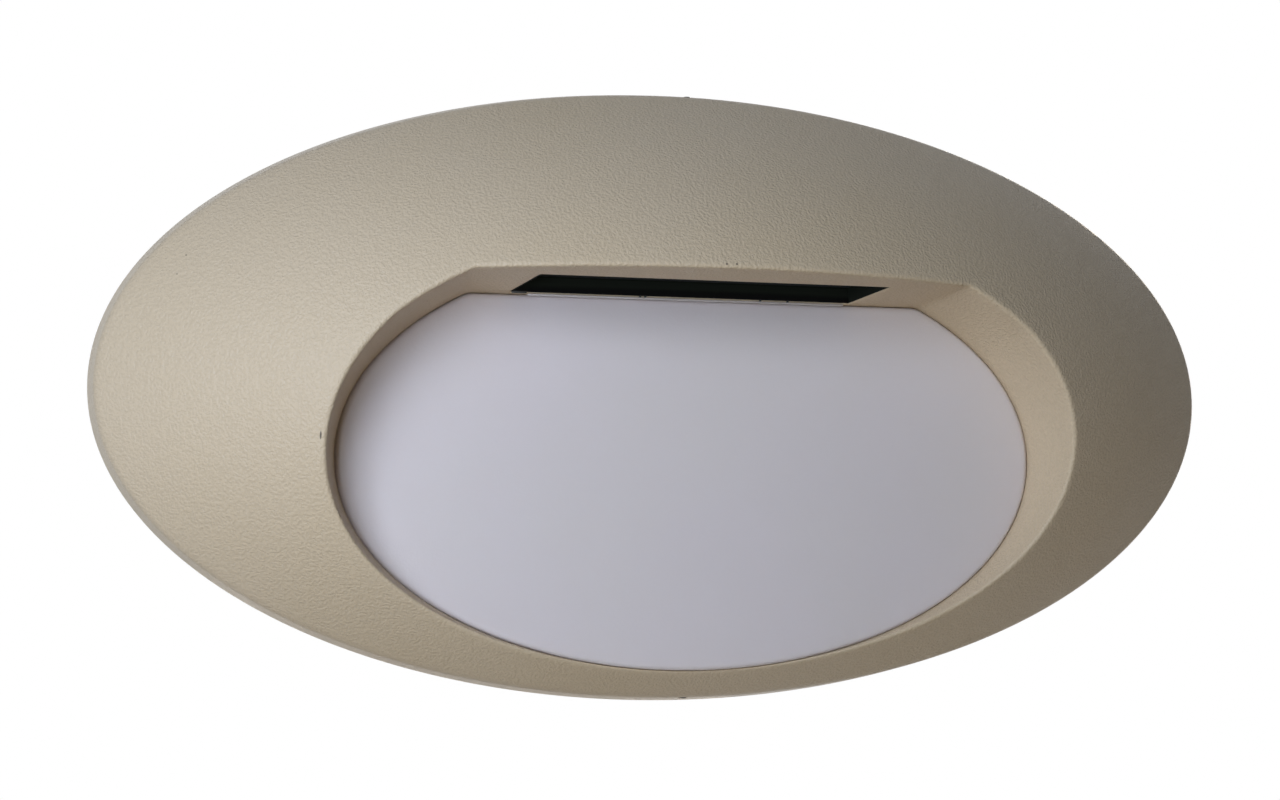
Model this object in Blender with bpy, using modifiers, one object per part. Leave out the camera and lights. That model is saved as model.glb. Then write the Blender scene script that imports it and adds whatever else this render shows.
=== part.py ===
"""Oval wall lamp with a hooded, D-shaped diffuser.

The lamp hangs on a wall in the plane Y = 0 and faces -Y, with +X to the right as seen from the
front and +Z up. The origin lies in the back plane, at the middle of the oval. A depth in this
file is a distance from the wall, so a point at depth d has Y = -d.
"""

import math

import bmesh
import bpy
from mathutils import Matrix, Vector

# Oval shell: outline, side band, dome and wall
HALF_WIDTH = 0.145
HALF_HEIGHT = 0.077
BAND_DEPTH = 0.0081
BAND_TAPER = 0.0016
DOME_RISE = 0.0512
DOME_POWER_SHARE = 1.96
SHELL_WALL = 0.0022
SHELL_STANDOFF = 0.0005
RIM_RADIUS = 0.0012

# Recess for the diffuser: an ellipse cut flat at the top, with drafted walls
RECESS_SIDE_MARGIN = 0.0559
RECESS_LOWER_MARGIN = 0.0090
RECESS_ROUND_SHARE = 0.567
CORNER_RADIUS = 0.0050
SIDE_DRAFT_SHARE = 0.22
TOP_DRAFT_SHARE = 0.127
DRAFT_EASE_SHARE = 0.75
EDGE_RADIUS = 0.0013
RECESS_WALL = 0.0030
DIFFUSER_DEPTH = 0.0186

# Clearances
GAP = 0.0003
CUT_OVERRUN = 0.0010
JOIN_STEP = 0.0001
MERGE_DISTANCE = 0.00001

# Opal diffuser, its gasket and the frame that clamps them
DIFFUSER_GAP = 0.0004
DIFFUSER_WALL = 0.0020
DIFFUSER_EDGE = 0.0018
DIFFUSER_BULGE = 0.0018
FLANGE_REACH = 0.0026
FLANGE_THICKNESS = 0.0020
GASKET_THICKNESS = 0.0008
GASKET_WIDTH = 0.0022
RETAINER_THICKNESS = 0.0015
RETAINER_INSET = 0.0060
RETAINER_LUG_MARGIN = 0.0015
RETAINER_SCREW_SHARES = (0.29, 0.13, 0.02)
BOSS_CLEARANCE = 0.0011
BOSS_RADIUS = 0.0030
BOSS_HOLE_DEPTH = 0.0090

# Vent slot in the hood and the black baffle behind it
SLOT_END_MARGIN = 0.0120
SLOT_LEDGE = 0.0009
BAFFLE_END_MARGIN = 0.0053
BAFFLE_MARGIN = 0.0015
BAFFLE_HEADROOM = 0.0041
BAFFLE_HEIGHT = 0.0136
BAFFLE_WALL = 0.0012
BAFFLE_TAB_REACH = 0.0110
BAFFLE_TAB_HEIGHT = 0.0070
BAFFLE_SCREW_REACH = 0.0060
BAFFLE_SLIT_BAR = 0.0105
BAFFLE_SLIT_HEIGHT = 0.0030
BAFFLE_SLIT_COUNT = 3

# Base plate, its edge, the rubber parts on it and the wall fixings
FOOT_THICKNESS = 0.0015
BASE_THICKNESS = 0.0025
BASE_RIM_CLEARANCE = 0.0006
BASE_RIM_WALL = 0.0018
FOOT_PLAY = 0.0007
SEAL_WIDTH = 0.0026
SEAL_HEIGHT = 0.0020
GROOVE_DEPTH = 0.0010
GROOVE_INSET = 0.0095
GROOVE_WIDTH = 0.0050
WALL_SLOT_PLACE_SHARE = 0.814
WALL_SLOT_LENGTH = 0.0110
WALL_SLOT_WIDTH = 0.0056
ENTRY_PLACE_SHARES = (-0.69, 0.17)
ENTRY_RADIUS = 0.0065
ENTRY_LIP = 0.0016
ENTRY_LIP_DEPTH = 0.0012
GROMMET_BORE = 0.0036
GROMMET_FLANGE = 0.0090
GROMMET_FLANGE_HEIGHT = 0.0018
GROMMET_NOSE_RADIUS = 0.0056
GROMMET_NOSE_HEIGHT = 0.0034

# Cover fixing: hexagon-socket grub screws in the top and bottom of the band
GRUB_RADIUS = 0.0010
GRUB_PAD_HALF = 0.0040

# Small screws
SCREW_HEAD_RADIUS = 0.0022
SCREW_HEAD_HEIGHT = 0.0014
SCREW_SHANK_RADIUS = 0.0012
SCREW_SOCKET_RADIUS = 0.0010
SCREW_SOCKET_DEPTH = 0.0008
RETAINER_SCREW_LENGTH = 0.0080
BAFFLE_SCREW_LENGTH = 0.0060
DRIVER_SCREW_LENGTH = 0.0050
HOLE_FLOOR = 0.0010

# White gear tray, LED board and its connector
TRAY_LIFT = 0.0014
TRAY_SHEET = 0.0010
TRAY_FLARE = 0.0035
TRAY_SIDE_GAP = 0.0005
TRAY_RIM_CLEARANCE = 0.0004
TRAY_NOTCH_PLACE_SHARE = 0.35
TRAY_NOTCH_WIDTH = 0.0090
TRAY_NOTCH_REACH = 0.0030
POST_RADIUS = 0.0035
POST_PLACE_SHARES = ((-0.70, 0.50), (0.70, 0.50), (-0.70, -0.70), (0.70, -0.70))
BOARD_THICKNESS = 0.0016
BOARD_MARGIN = 0.0040
CHIP_SIZE = 0.0028
CHIP_HEIGHT = 0.0008
CHIP_COLUMNS = 7
CHIP_REACH_SHARE = 0.81
CHIP_ROW_SHARES = (0.26, -0.10, -0.46)
CONNECTOR_WIDTH = 0.0080
CONNECTOR_LENGTH = 0.0060
CONNECTOR_HEIGHT = 0.0038
CONNECTOR_MARGIN = 0.0005

# LED driver in the hood
DRIVER_HALF_LENGTH = 0.0380
DRIVER_WIDTH = 0.0190
DRIVER_HEIGHT = 0.0130
DRIVER_WALL = 0.0012
DRIVER_LID = 0.0010
DRIVER_LIFT = 0.0040
DRIVER_HEADROOM = 0.0046
DRIVER_CLEARANCE = 0.0018
DRIVER_EAR = 0.0070
DRIVER_EAR_THICKNESS = 0.0015

# Lever terminal block
TERMINAL_PLACE_SHARE = 0.545
TERMINAL_MARGIN = 0.0045
TERMINAL_WIDTH = 0.0280
TERMINAL_LENGTH = 0.0160
TERMINAL_HEIGHT = 0.0100
TERMINAL_PITCH = 0.0088
TERMINAL_LIP = 0.0015
TERMINAL_WIRE_DEPTH = 0.0062
TERMINAL_WIRE_HOLE = 0.0014
TERMINAL_HOLE_REACH = 0.0040
LEVER_WIDTH = 0.0070
LEVER_EYE = 0.0016
LEVER_REACH = 0.0090
LEVER_THICKNESS = 0.0020

# Earth stud
EARTH_PLACE_SHARES = (-0.745, 0.39)
STUD_RADIUS = 0.0018
STUD_DEPTH = 0.0090
EARTH_BOSS_RADIUS = 0.0042
EARTH_BOSS_DEPTH = 0.0036
TAG_THICKNESS = 0.0008
TAG_RADIUS = 0.0040
TAG_TAIL = 0.0060
TAG_TAIL_WIDTH = 0.0030
NUT_RADIUS = 0.0038
NUT_HEIGHT = 0.0024

# Internal leads
LEAD_RADIUS = 0.0008
LEAD_ROOM = 0.0029
LEAD_POINT_STEPS = 4

# Smoothness of the faceted solids
ARC_STEPS = 42
FLAT_STEPS = 8
CORNER_STEPS = 3
DOME_STEPS = 4
ROUND_STEPS = 14
SOLVE_STEPS = 14

PARTS = bpy.data.collections.new("wall_lamp")
CUTTERS = bpy.data.collections.new("wall_lamp_cutters")

RIM_HALF_WIDTH = HALF_WIDTH - BAND_TAPER
RIM_HALF_HEIGHT = HALF_HEIGHT - BAND_TAPER


# Materials

def finish(name, colour, roughness, metallic=0.0):
    """A Principled material with one plain colour."""
    material = bpy.data.materials.new(name)
    material.use_nodes = True
    shader = material.node_tree.nodes["Principled BSDF"]
    shader.inputs["Base Color"].default_value = (*colour, 1)
    shader.inputs["Roughness"].default_value = roughness
    shader.inputs["Metallic"].default_value = metallic
    return material


SHELL_PAINT = finish("champagne_powder_coat", (0.50, 0.45, 0.36), 0.5, 0.2)
OPAL = finish("opal_plastic", (0.72, 0.71, 0.74), 0.35)
BLACK_PLASTIC = finish("black_plastic", (0.02, 0.022, 0.02), 0.6)
CAST_METAL = finish("bare_cast_metal", (0.55, 0.56, 0.57), 0.45, 0.9)
WHITE_SHEET = finish("white_reflector", (0.88, 0.88, 0.86), 0.4)
BOARD_WHITE = finish("board_white", (0.85, 0.86, 0.84), 0.45)
RUBBER = finish("black_rubber", (0.03, 0.03, 0.03), 0.8)
SILICONE = finish("clear_grey_silicone", (0.55, 0.56, 0.57), 0.6)
ZINC = finish("zinc_steel", (0.62, 0.63, 0.65), 0.35, 1.0)
BRASS = finish("brass", (0.72, 0.55, 0.25), 0.35, 1.0)
TERMINAL_GREY = finish("terminal_grey", (0.42, 0.43, 0.44), 0.5)
LEVER_ORANGE = finish("lever_orange", (0.85, 0.30, 0.05), 0.45)
DRIVER_WHITE = finish("driver_case_white", (0.80, 0.80, 0.78), 0.5)
LEAD_BROWN = finish("lead_brown", (0.16, 0.07, 0.03), 0.5)
LEAD_BLUE = finish("lead_blue", (0.04, 0.14, 0.45), 0.5)
LEAD_GREEN = finish("lead_green", (0.10, 0.42, 0.08), 0.5)
LEAD_RED = finish("lead_red", (0.50, 0.03, 0.03), 0.5)
LEAD_BLACK = finish("lead_black", (0.03, 0.03, 0.03), 0.5)


# Geometry of the oval dome

def spot(x, z, depth):
    """World position of a point at a depth from the wall."""
    return Vector((x, -depth, z))


def band_inset(depth):
    """How far the tapered side band has drawn in at a depth."""
    return BAND_TAPER * depth / BAND_DEPTH


def dome_reach(x, z):
    """0 at the middle of the oval and 1 at the dome's edge."""
    return max(math.hypot(x / RIM_HALF_WIDTH, z / RIM_HALF_HEIGHT), GAP / HALF_WIDTH)


def outer_skin(x, z):
    """Depth of the shell's outer skin."""
    return BAND_DEPTH + DOME_RISE * (1 - min(dome_reach(x, z), 1) ** DOME_POWER_SHARE)


def inner_skin(x, z):
    """Depth of the shell's inner skin, a wall's thickness behind the outer one."""
    rate = DOME_RISE * DOME_POWER_SHARE * dome_reach(x, z) ** (DOME_POWER_SHARE - 2)
    slope = rate * math.hypot(x / RIM_HALF_WIDTH ** 2, z / RIM_HALF_HEIGHT ** 2)
    return outer_skin(x, z) - SHELL_WALL * math.hypot(1, slope)


def dome_height(x, depth):
    """Height at which the outer skin has a depth, at a distance from the middle."""
    reach = (1 - (depth - BAND_DEPTH) / DOME_RISE) ** (1 / DOME_POWER_SHARE)
    return RIM_HALF_HEIGHT * math.sqrt(reach ** 2 - (x / RIM_HALF_WIDTH) ** 2)


# Depths of the layers, from the wall outwards
SEAL_BACK = FOOT_THICKNESS + GAP
SEAL_FRONT = SEAL_BACK + SEAL_HEIGHT
TRAY_BACK = BASE_THICKNESS + TRAY_LIFT + GAP
BOARD_BACK = TRAY_BACK + TRAY_SHEET + GAP
BOARD_FRONT = BOARD_BACK + BOARD_THICKNESS
RETAINER_BACK = TRAY_BACK + TRAY_SHEET + LEAD_ROOM
RETAINER_FRONT = RETAINER_BACK + RETAINER_THICKNESS
FLANGE_BACK = RETAINER_FRONT + GAP
FLANGE_FRONT = FLANGE_BACK + FLANGE_THICKNESS
SEAT_DEPTH = FLANGE_FRONT + GASKET_THICKNESS + 2 * GAP
TRAY_RIM_DEPTH = RETAINER_BACK - TRAY_RIM_CLEARANCE
BASE_RIM_DEPTH = min(BAND_DEPTH, RETAINER_BACK) - BASE_RIM_CLEARANCE
GRUB_DEPTH = (SEAL_FRONT + GAP + BAND_DEPTH) / 2
DRIVER_BACK = BASE_THICKNESS + DRIVER_LIFT + GAP
DRIVER_FRONT = DRIVER_BACK + DRIVER_HEIGHT
TERMINAL_BACK = BASE_THICKNESS + GAP
TERMINAL_FRONT = TERMINAL_BACK + TERMINAL_HEIGHT

# Insets from the oval's outline and from the recess
SEAL_INSET = SHELL_WALL + band_inset(SEAL_FRONT) + GAP
BASE_RIM_INSET = SEAL_INSET + SEAL_WIDTH + GAP
BASE_INNER_INSET = BASE_RIM_INSET + BASE_RIM_WALL
TRAY_RIM_INSET = RETAINER_INSET + TRAY_SIDE_GAP
TRAY_FLOOR_INSET = TRAY_RIM_INSET + TRAY_FLARE
BOARD_INSET = TRAY_FLOOR_INSET + TRAY_SHEET + BOARD_MARGIN
BOSS_OFFSET = FLANGE_REACH + BOSS_CLEARANCE + BOSS_RADIUS

# The hood holds the driver under the dome and the baffle under the driver, on the recess's flat top
DRIVER_TOP_Z = dome_height(DRIVER_HALF_LENGTH, DRIVER_FRONT + GAP + DRIVER_LID + DRIVER_HEADROOM)
DRIVER_MIDDLE_Z = DRIVER_TOP_Z - DRIVER_WIDTH / 2
BAFFLE_TOP_Z = DRIVER_TOP_Z - DRIVER_WIDTH - DRIVER_CLEARANCE
FLAT_RISE = BAFFLE_TOP_Z - BAFFLE_HEIGHT

# The recess fills what the hood and the margins leave
RECESS_LOW = HALF_HEIGHT - RECESS_LOWER_MARGIN
RECESS_HALF_WIDTH = HALF_WIDTH - RECESS_SIDE_MARGIN
RECESS_HALF_HEIGHT = (FLAT_RISE + RECESS_LOW) * RECESS_ROUND_SHARE
RECESS_DROP = RECESS_LOW - RECESS_HALF_HEIGHT


# Geometry of the recess

def arc_station(angle, inset=0.0):
    """Point on the recess's ellipse, set in by the corner radius, and the outward direction there."""
    half_width = RECESS_HALF_WIDTH - CORNER_RADIUS - inset
    half_height = RECESS_HALF_HEIGHT - CORNER_RADIUS - inset
    out = Vector((math.cos(angle) / half_width, math.sin(angle) / half_height)).normalized()
    return (half_width * math.cos(angle), half_height * math.sin(angle) - RECESS_DROP, out.x, out.y)


def arc_angle(share, inset=0.0):
    """Angle on the ellipse at a share of the way from the right end of the flat top to its left end."""
    flat_z = FLAT_RISE - CORNER_RADIUS - inset
    corner = math.asin((flat_z + RECESS_DROP) / (RECESS_HALF_HEIGHT - CORNER_RADIUS - inset))
    return corner - (math.pi + 2 * corner) * share


def recess_stations(inset=0.0):
    """The D once round, clockwise from its top left corner, as points with outward directions."""
    corner_x, flat_z, out_x, out_z = arc_station(arc_angle(0, inset), inset)
    turn = math.atan2(out_x, out_z)
    stations = []
    for step in range(FLAT_STEPS + 1):
        stations.append((corner_x * (2 * step / FLAT_STEPS - 1), flat_z, 0, 1))
    for step in range(1, CORNER_STEPS):
        lean = turn * step / CORNER_STEPS
        stations.append((corner_x, flat_z, math.sin(lean), math.cos(lean)))
    for step in range(ARC_STEPS + 1):
        stations.append(arc_station(arc_angle(step / ARC_STEPS, inset), inset))
    for step in range(CORNER_STEPS - 1, 0, -1):
        lean = turn * step / CORNER_STEPS
        stations.append((-corner_x, flat_z, -math.sin(lean), math.cos(lean)))
    return stations


STATIONS = recess_stations()

# The vent slot, between the flat top's round corners, and the baffle behind it
SLOT_HALF_LENGTH = arc_station(arc_angle(0))[0] - SLOT_END_MARGIN
SLOT_NEAR_DEPTH = DIFFUSER_DEPTH + SLOT_LEDGE
BAFFLE_HALF_LENGTH = SLOT_HALF_LENGTH + BAFFLE_END_MARGIN
BAFFLE_SCREW_X = BAFFLE_HALF_LENGTH + BAFFLE_SCREW_REACH
BAFFLE_BACK = SLOT_NEAR_DEPTH - BAFFLE_MARGIN
BAFFLE_FRONT = outer_skin(BAFFLE_HALF_LENGTH, BAFFLE_TOP_Z) - BAFFLE_HEADROOM
SLOT_FAR_DEPTH = BAFFLE_FRONT - BAFFLE_MARGIN


def draft(out_z):
    """Slope of the recess wall, which eases from the sides' value to the top's."""
    blend = max(out_z - DRAFT_EASE_SHARE, 0) / (1 - DRAFT_EASE_SHARE)
    return SIDE_DRAFT_SHARE + (TOP_DRAFT_SHARE - SIDE_DRAFT_SHARE) * blend


def recess_point(station, outward=0.0, height=0.0):
    """Plan position on the recess wall at a height over the diffuser plane, or outward of it."""
    x, z, out_x, out_z = station
    reach = CORNER_RADIUS + draft(out_z) * max(height, 0) + outward
    return x + out_x * reach, z + out_z * reach


def wall_height(station, outward, skin):
    """Height over the diffuser plane where the recess wall meets a skin of the dome."""
    height = 0.0
    for _ in range(SOLVE_STEPS):
        height = skin(*recess_point(station, outward, height)) - DIFFUSER_DEPTH
    return height


def rim_angle(station):
    """Angle on the oval rim that belongs to a station of the recess."""
    x, z = recess_point(station)
    return math.atan2((z + RECESS_DROP / 2) / HALF_HEIGHT, x / HALF_WIDTH)


def rim_point(station, inset):
    """Plan position on the oval, drawn in by an inset."""
    angle = rim_angle(station)
    return (HALF_WIDTH - inset) * math.cos(angle), (HALF_HEIGHT - inset) * math.sin(angle)


def mix(start, end, share):
    """Plan position between two others."""
    return tuple(a + (b - a) * share for a, b in zip(start, end))


# Places on the base plate, each tied to the oval or to the LED board

def oval_place(shares):
    """Plan position in shares of the oval's half axes."""
    return HALF_WIDTH * shares[0], HALF_HEIGHT * shares[1]


def board_place(shares):
    """Plan position in shares of the LED board's half axes."""
    return ((RECESS_HALF_WIDTH - BOARD_INSET) * shares[0],
            (RECESS_HALF_HEIGHT - BOARD_INSET) * shares[1] - RECESS_DROP)


def base_inner_z(x):
    """Height of the inner side of the base's raised edge at a distance from the middle."""
    return (HALF_HEIGHT - BASE_INNER_INSET) * math.sqrt(1 - (x / (HALF_WIDTH - BASE_INNER_INSET)) ** 2)


ENTRY_X, ENTRY_Z = oval_place(ENTRY_PLACE_SHARES)
EARTH_X, EARTH_Z = oval_place(EARTH_PLACE_SHARES)
WALL_SLOT_X = HALF_WIDTH * WALL_SLOT_PLACE_SHARE
TRAY_NOTCH_X = board_place((TRAY_NOTCH_PLACE_SHARE, 0))[0]
CONNECTOR_Z = FLAT_RISE - BOARD_INSET - CONNECTOR_MARGIN - CONNECTOR_LENGTH / 2
TERMINAL_X = -HALF_WIDTH * TERMINAL_PLACE_SHARE
TERMINAL_LOW_Z = base_inner_z(TERMINAL_X - TERMINAL_WIDTH / 2) - TERMINAL_MARGIN - TERMINAL_LENGTH
LEVER_AXIS_DEPTH = TERMINAL_FRONT - LEVER_EYE
LEVER_AXIS_Z = TERMINAL_LOW_Z + TERMINAL_LIP + GAP + LEVER_EYE


# Mesh tools

def link(name, mesh, material, cutter=False):
    """An object for a mesh, among the parts or among the cutters."""
    piece = bpy.data.objects.new(name, mesh)
    (CUTTERS if cutter else PARTS).objects.link(piece)
    if cutter:
        piece.hide_render = True
        piece.display_type = "WIRE"
    else:
        mesh.materials.clear()
        mesh.materials.append(material)
    return piece


def shade(mesh, limit_degrees=35):
    """Smooth shading with the hard corners kept."""
    mesh.shade_smooth()
    mesh.set_sharp_from_angle(angle=math.radians(limit_degrees))


def loft(name, rings, material=None, closed=False, cutter=False):
    """A skin through rings of equal count, capped at both ends or closed on itself."""
    shape = bmesh.new()
    loops = [[shape.verts.new(point) for point in ring] for ring in rings]
    pairs = list(zip(loops, loops[1:]))
    if closed:
        pairs.append((loops[-1], loops[0]))
    else:
        shape.faces.new(loops[0])
        shape.faces.new(loops[-1])
    for low, high in pairs:
        for index in range(len(low)):
            following = (index + 1) % len(low)
            shape.faces.new((low[index], low[following], high[following], high[index]))
    bmesh.ops.recalc_face_normals(shape, faces=shape.faces)
    mesh = bpy.data.meshes.new(name)
    shape.to_mesh(mesh)
    shape.free()
    shade(mesh)
    return link(name, mesh, material, cutter)


def add_box(shape, low, high):
    """A box between two corners, given as x, z and depth."""
    size = Vector([abs(b - a) for a, b in zip(low, high)])
    middle = [(a + b) / 2 for a, b in zip(low, high)]
    scale = Matrix.Diagonal((size.x, size.z, size.y, 1))
    bmesh.ops.create_cube(shape, size=1, matrix=Matrix.Translation(spot(*middle)) @ scale)


def add_rod(shape, start, end, radius, sides=ROUND_STEPS):
    """A cylinder between two world points."""
    along = end - start
    turn = along.to_track_quat("Z", "Y").to_matrix().to_4x4()
    place = Matrix.Translation((start + end) / 2) @ turn
    bmesh.ops.create_cone(shape, cap_ends=True, segments=sides, radius1=radius, radius2=radius,
                          depth=along.length, matrix=place)


def finish_mesh(name, shape, material=None, cutter=False):
    """Turn a filled bmesh into an object."""
    mesh = bpy.data.meshes.new(name)
    shape.to_mesh(mesh)
    shape.free()
    shade(mesh)
    return link(name, mesh, material, cutter)


def boxes(name, corners, material=None, cutter=False):
    """One mesh of boxes that don't meet."""
    shape = bmesh.new()
    for low, high in corners:
        add_box(shape, low, high)
    return finish_mesh(name, shape, material, cutter)


def rods(name, lines, material=None, cutter=False, sides=ROUND_STEPS):
    """One mesh of cylinders that don't meet, each given as start, end and radius."""
    shape = bmesh.new()
    for start, end, radius in lines:
        add_rod(shape, start, end, radius, sides)
    return finish_mesh(name, shape, material, cutter)


def boolean(piece, tool, operation):
    """A live Boolean with the exact solver."""
    step = piece.modifiers.new(tool.name, "BOOLEAN")
    step.operation = operation
    step.object = tool
    step.solver = "EXACT"


def cut(piece, tool):
    """Take a cutter away from a piece."""
    boolean(piece, tool, "DIFFERENCE")


def join(piece, tool):
    """Fuse a shape to a piece."""
    boolean(piece, tool, "UNION")


def bevel(piece, width, segments=1, limit_degrees=40):
    """Round the hard edges of a piece."""
    step = piece.modifiers.new("rounded_edges", "BEVEL")
    step.width = width
    step.segments = segments
    step.limit_method = "ANGLE"
    step.angle_limit = math.radians(limit_degrees)


def applied(piece):
    """The piece as its modifiers or its curve settings leave it, as a plain mesh object."""
    graph = bpy.context.evaluated_depsgraph_get()
    mesh = bpy.data.meshes.new_from_object(piece.evaluated_get(graph))
    shape = bmesh.new()
    shape.from_mesh(mesh)
    bmesh.ops.remove_doubles(shape, verts=shape.verts, dist=MERGE_DISTANCE)
    shape.to_mesh(mesh)
    shape.free()
    shade(mesh)
    name, place, material = piece.name, piece.matrix_world.copy(), piece.active_material
    bpy.data.objects.remove(piece)
    plain = link(name, mesh, material)
    plain.matrix_world = place
    return plain


def turned(name, profile, material, steps=ROUND_STEPS, ring=False):
    """A turned shape round its own Z from a profile of radius and height, top to bottom outside."""
    mesh = bpy.data.meshes.new(name)
    count = len(profile)
    edges = [(index, index + 1) for index in range(count - 1)]
    if ring:
        edges.append((count - 1, 0))
    mesh.from_pydata([(radius, 0, height) for radius, height in profile], edges, [])
    piece = link(name, mesh, material)
    spin = piece.modifiers.new("turning", "SCREW")
    spin.steps = steps
    spin.render_steps = steps
    spin.use_merge_vertices = True
    spin.merge_threshold = MERGE_DISTANCE
    spin.use_smooth_shade = False
    return piece


def circle(x, z, radius, depth, steps=ROUND_STEPS):
    """A ring of points round an axis square to the wall."""
    turns = [2 * math.pi * step / steps for step in range(steps)]
    return [spot(x + radius * math.cos(turn), z + radius * math.sin(turn), depth) for turn in turns]


def oval(inset, depth):
    """A ring on the lamp's oval, drawn in by an inset, with its points in line with the shell's."""
    return [spot(*rim_point(station, inset), depth) for station in STATIONS]


def d_plan(outward):
    """The D-shaped opening grown outward, or drawn in with its corners still round."""
    if outward < 0:
        return [recess_point(station) for station in recess_stations(-outward)]
    return [recess_point(station, outward) for station in STATIONS]


def d_ring(outward, depth):
    """A ring on the D-shaped opening, grown outward or drawn in."""
    return [spot(*point, depth) for point in d_plan(outward)]


def smooth_route(points):
    """Points on a smooth curve that passes through each given point."""
    ends = [points[0] * 2 - points[1]] + points + [points[-1] * 2 - points[-2]]
    route = []
    for before, start, end, after in zip(ends, ends[1:], ends[2:], ends[3:]):
        for step in range(LEAD_POINT_STEPS):
            t = step / LEAD_POINT_STEPS
            linear = (end - before) * t
            square = (before * 2 - start * 5 + end * 4 - after) * t ** 2
            cube = (start * 3 - before - end * 3 + after) * t ** 3
            route.append(start + (linear + square + cube) / 2)
    return route + [points[-1]]


# Front shell

def shell_fillet(start, corner, end):
    """Rings of a rounded edge: its start, its middle and its end."""
    middle = [(a + b * 2 + c) / 4 for a, b, c in zip(start, corner, end)]
    return [start, middle, end]


def recess_edge_rings():
    """The rounded front edge of the recess, where its wall turns into the dome."""
    starts, corners, ends = [], [], []
    for station in STATIONS:
        height = wall_height(station, 0, outer_skin)
        x, z = recess_point(station, 0, height)
        below = recess_point(station, 0, height - EDGE_RADIUS)
        beyond = recess_point(station, EDGE_RADIUS, height)
        starts.append(spot(*below, DIFFUSER_DEPTH + height - EDGE_RADIUS))
        corners.append(spot(x, z, DIFFUSER_DEPTH + height))
        ends.append(spot(*beyond, outer_skin(*beyond)))
    return shell_fillet(starts, corners, ends), ends


def dome_rings(inner_plan, outer_plan, skin):
    """Rings on a skin of the dome between two outlines, both left out."""
    rings = []
    for step in range(1, DOME_STEPS + 1):
        share = step / (DOME_STEPS + 1)
        plan = [mix(a, b, share) for a, b in zip(inner_plan, outer_plan)]
        rings.append([spot(*point, skin(*point)) for point in plan])
    return rings


def rim_edge_rings():
    """The rounded edge between the dome and the side band."""
    start_plan = [rim_point(station, BAND_TAPER + RIM_RADIUS) for station in STATIONS]
    starts = [spot(*point, outer_skin(*point)) for point in start_plan]
    end_depth = BAND_DEPTH - RIM_RADIUS
    edge = shell_fillet(starts, oval(BAND_TAPER, BAND_DEPTH), oval(band_inset(end_depth), end_depth))
    return edge, start_plan


def plan_of(ring):
    """Plan positions of a ring."""
    return [(point.x, point.z) for point in ring]


def hidden_skin_rings():
    """The inside of the shell from the band's back edge to the diffuser's seat."""
    corner = [rim_point(station, BAND_TAPER + SHELL_WALL) for station in STATIONS]
    junction = []
    for station in STATIONS:
        height = wall_height(station, RECESS_WALL, inner_skin)
        junction.append(recess_point(station, RECESS_WALL, height))
    rings = [oval(SHELL_WALL + band_inset(SHELL_STANDOFF), SHELL_STANDOFF)]
    rings.append([spot(*point, inner_skin(*point)) for point in corner])
    rings += dome_rings(junction, corner, inner_skin)[::-1]
    rings.append([spot(*point, inner_skin(*point)) for point in junction])
    knee = [min(DIFFUSER_DEPTH, (inner_skin(*point) + SEAT_DEPTH) / 2) for point in junction]
    rings.append([spot(*point, depth) for point, depth in zip(d_plan(RECESS_WALL), knee)])
    return rings


def boss(name, x, z, depth):
    """A screw boss that stands on the inside of the dome and ends at a depth."""
    foot = circle(x, z, BOSS_RADIUS, depth)
    head = [spot(point.x, point.z, inner_skin(point.x, point.z) + SHELL_WALL / 2) for point in foot]
    return loft(name, [foot, head], cutter=True)


def retainer_screw_places():
    """Plan positions of the six screws of the diffuser's frame, left and right in turn."""
    places = []
    for share in RETAINER_SCREW_SHARES:
        x, z = recess_point(arc_station(arc_angle(share)), BOSS_OFFSET)
        places += [(-x, z), (x, z)]
    return places


def hood_wall_z(depth, behind=0.0):
    """Height of the recess's flat top wall at a depth, or that far above it."""
    return FLAT_RISE + TOP_DRAFT_SHARE * (depth - DIFFUSER_DEPTH) + behind


def baffle_middle_z():
    """Height of the baffle's two screws."""
    return hood_wall_z(BAFFLE_BACK, RECESS_WALL + GAP) + BAFFLE_TAB_HEIGHT / 2


def knee_ring(edge_start):
    """Ring where the recess wall starts to lean out, kept below the rounded edge."""
    ring = []
    for station, above in zip(STATIONS, edge_start):
        ring.append(spot(*recess_point(station), min(DIFFUSER_DEPTH, -above.y - GAP)))
    return ring


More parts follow.
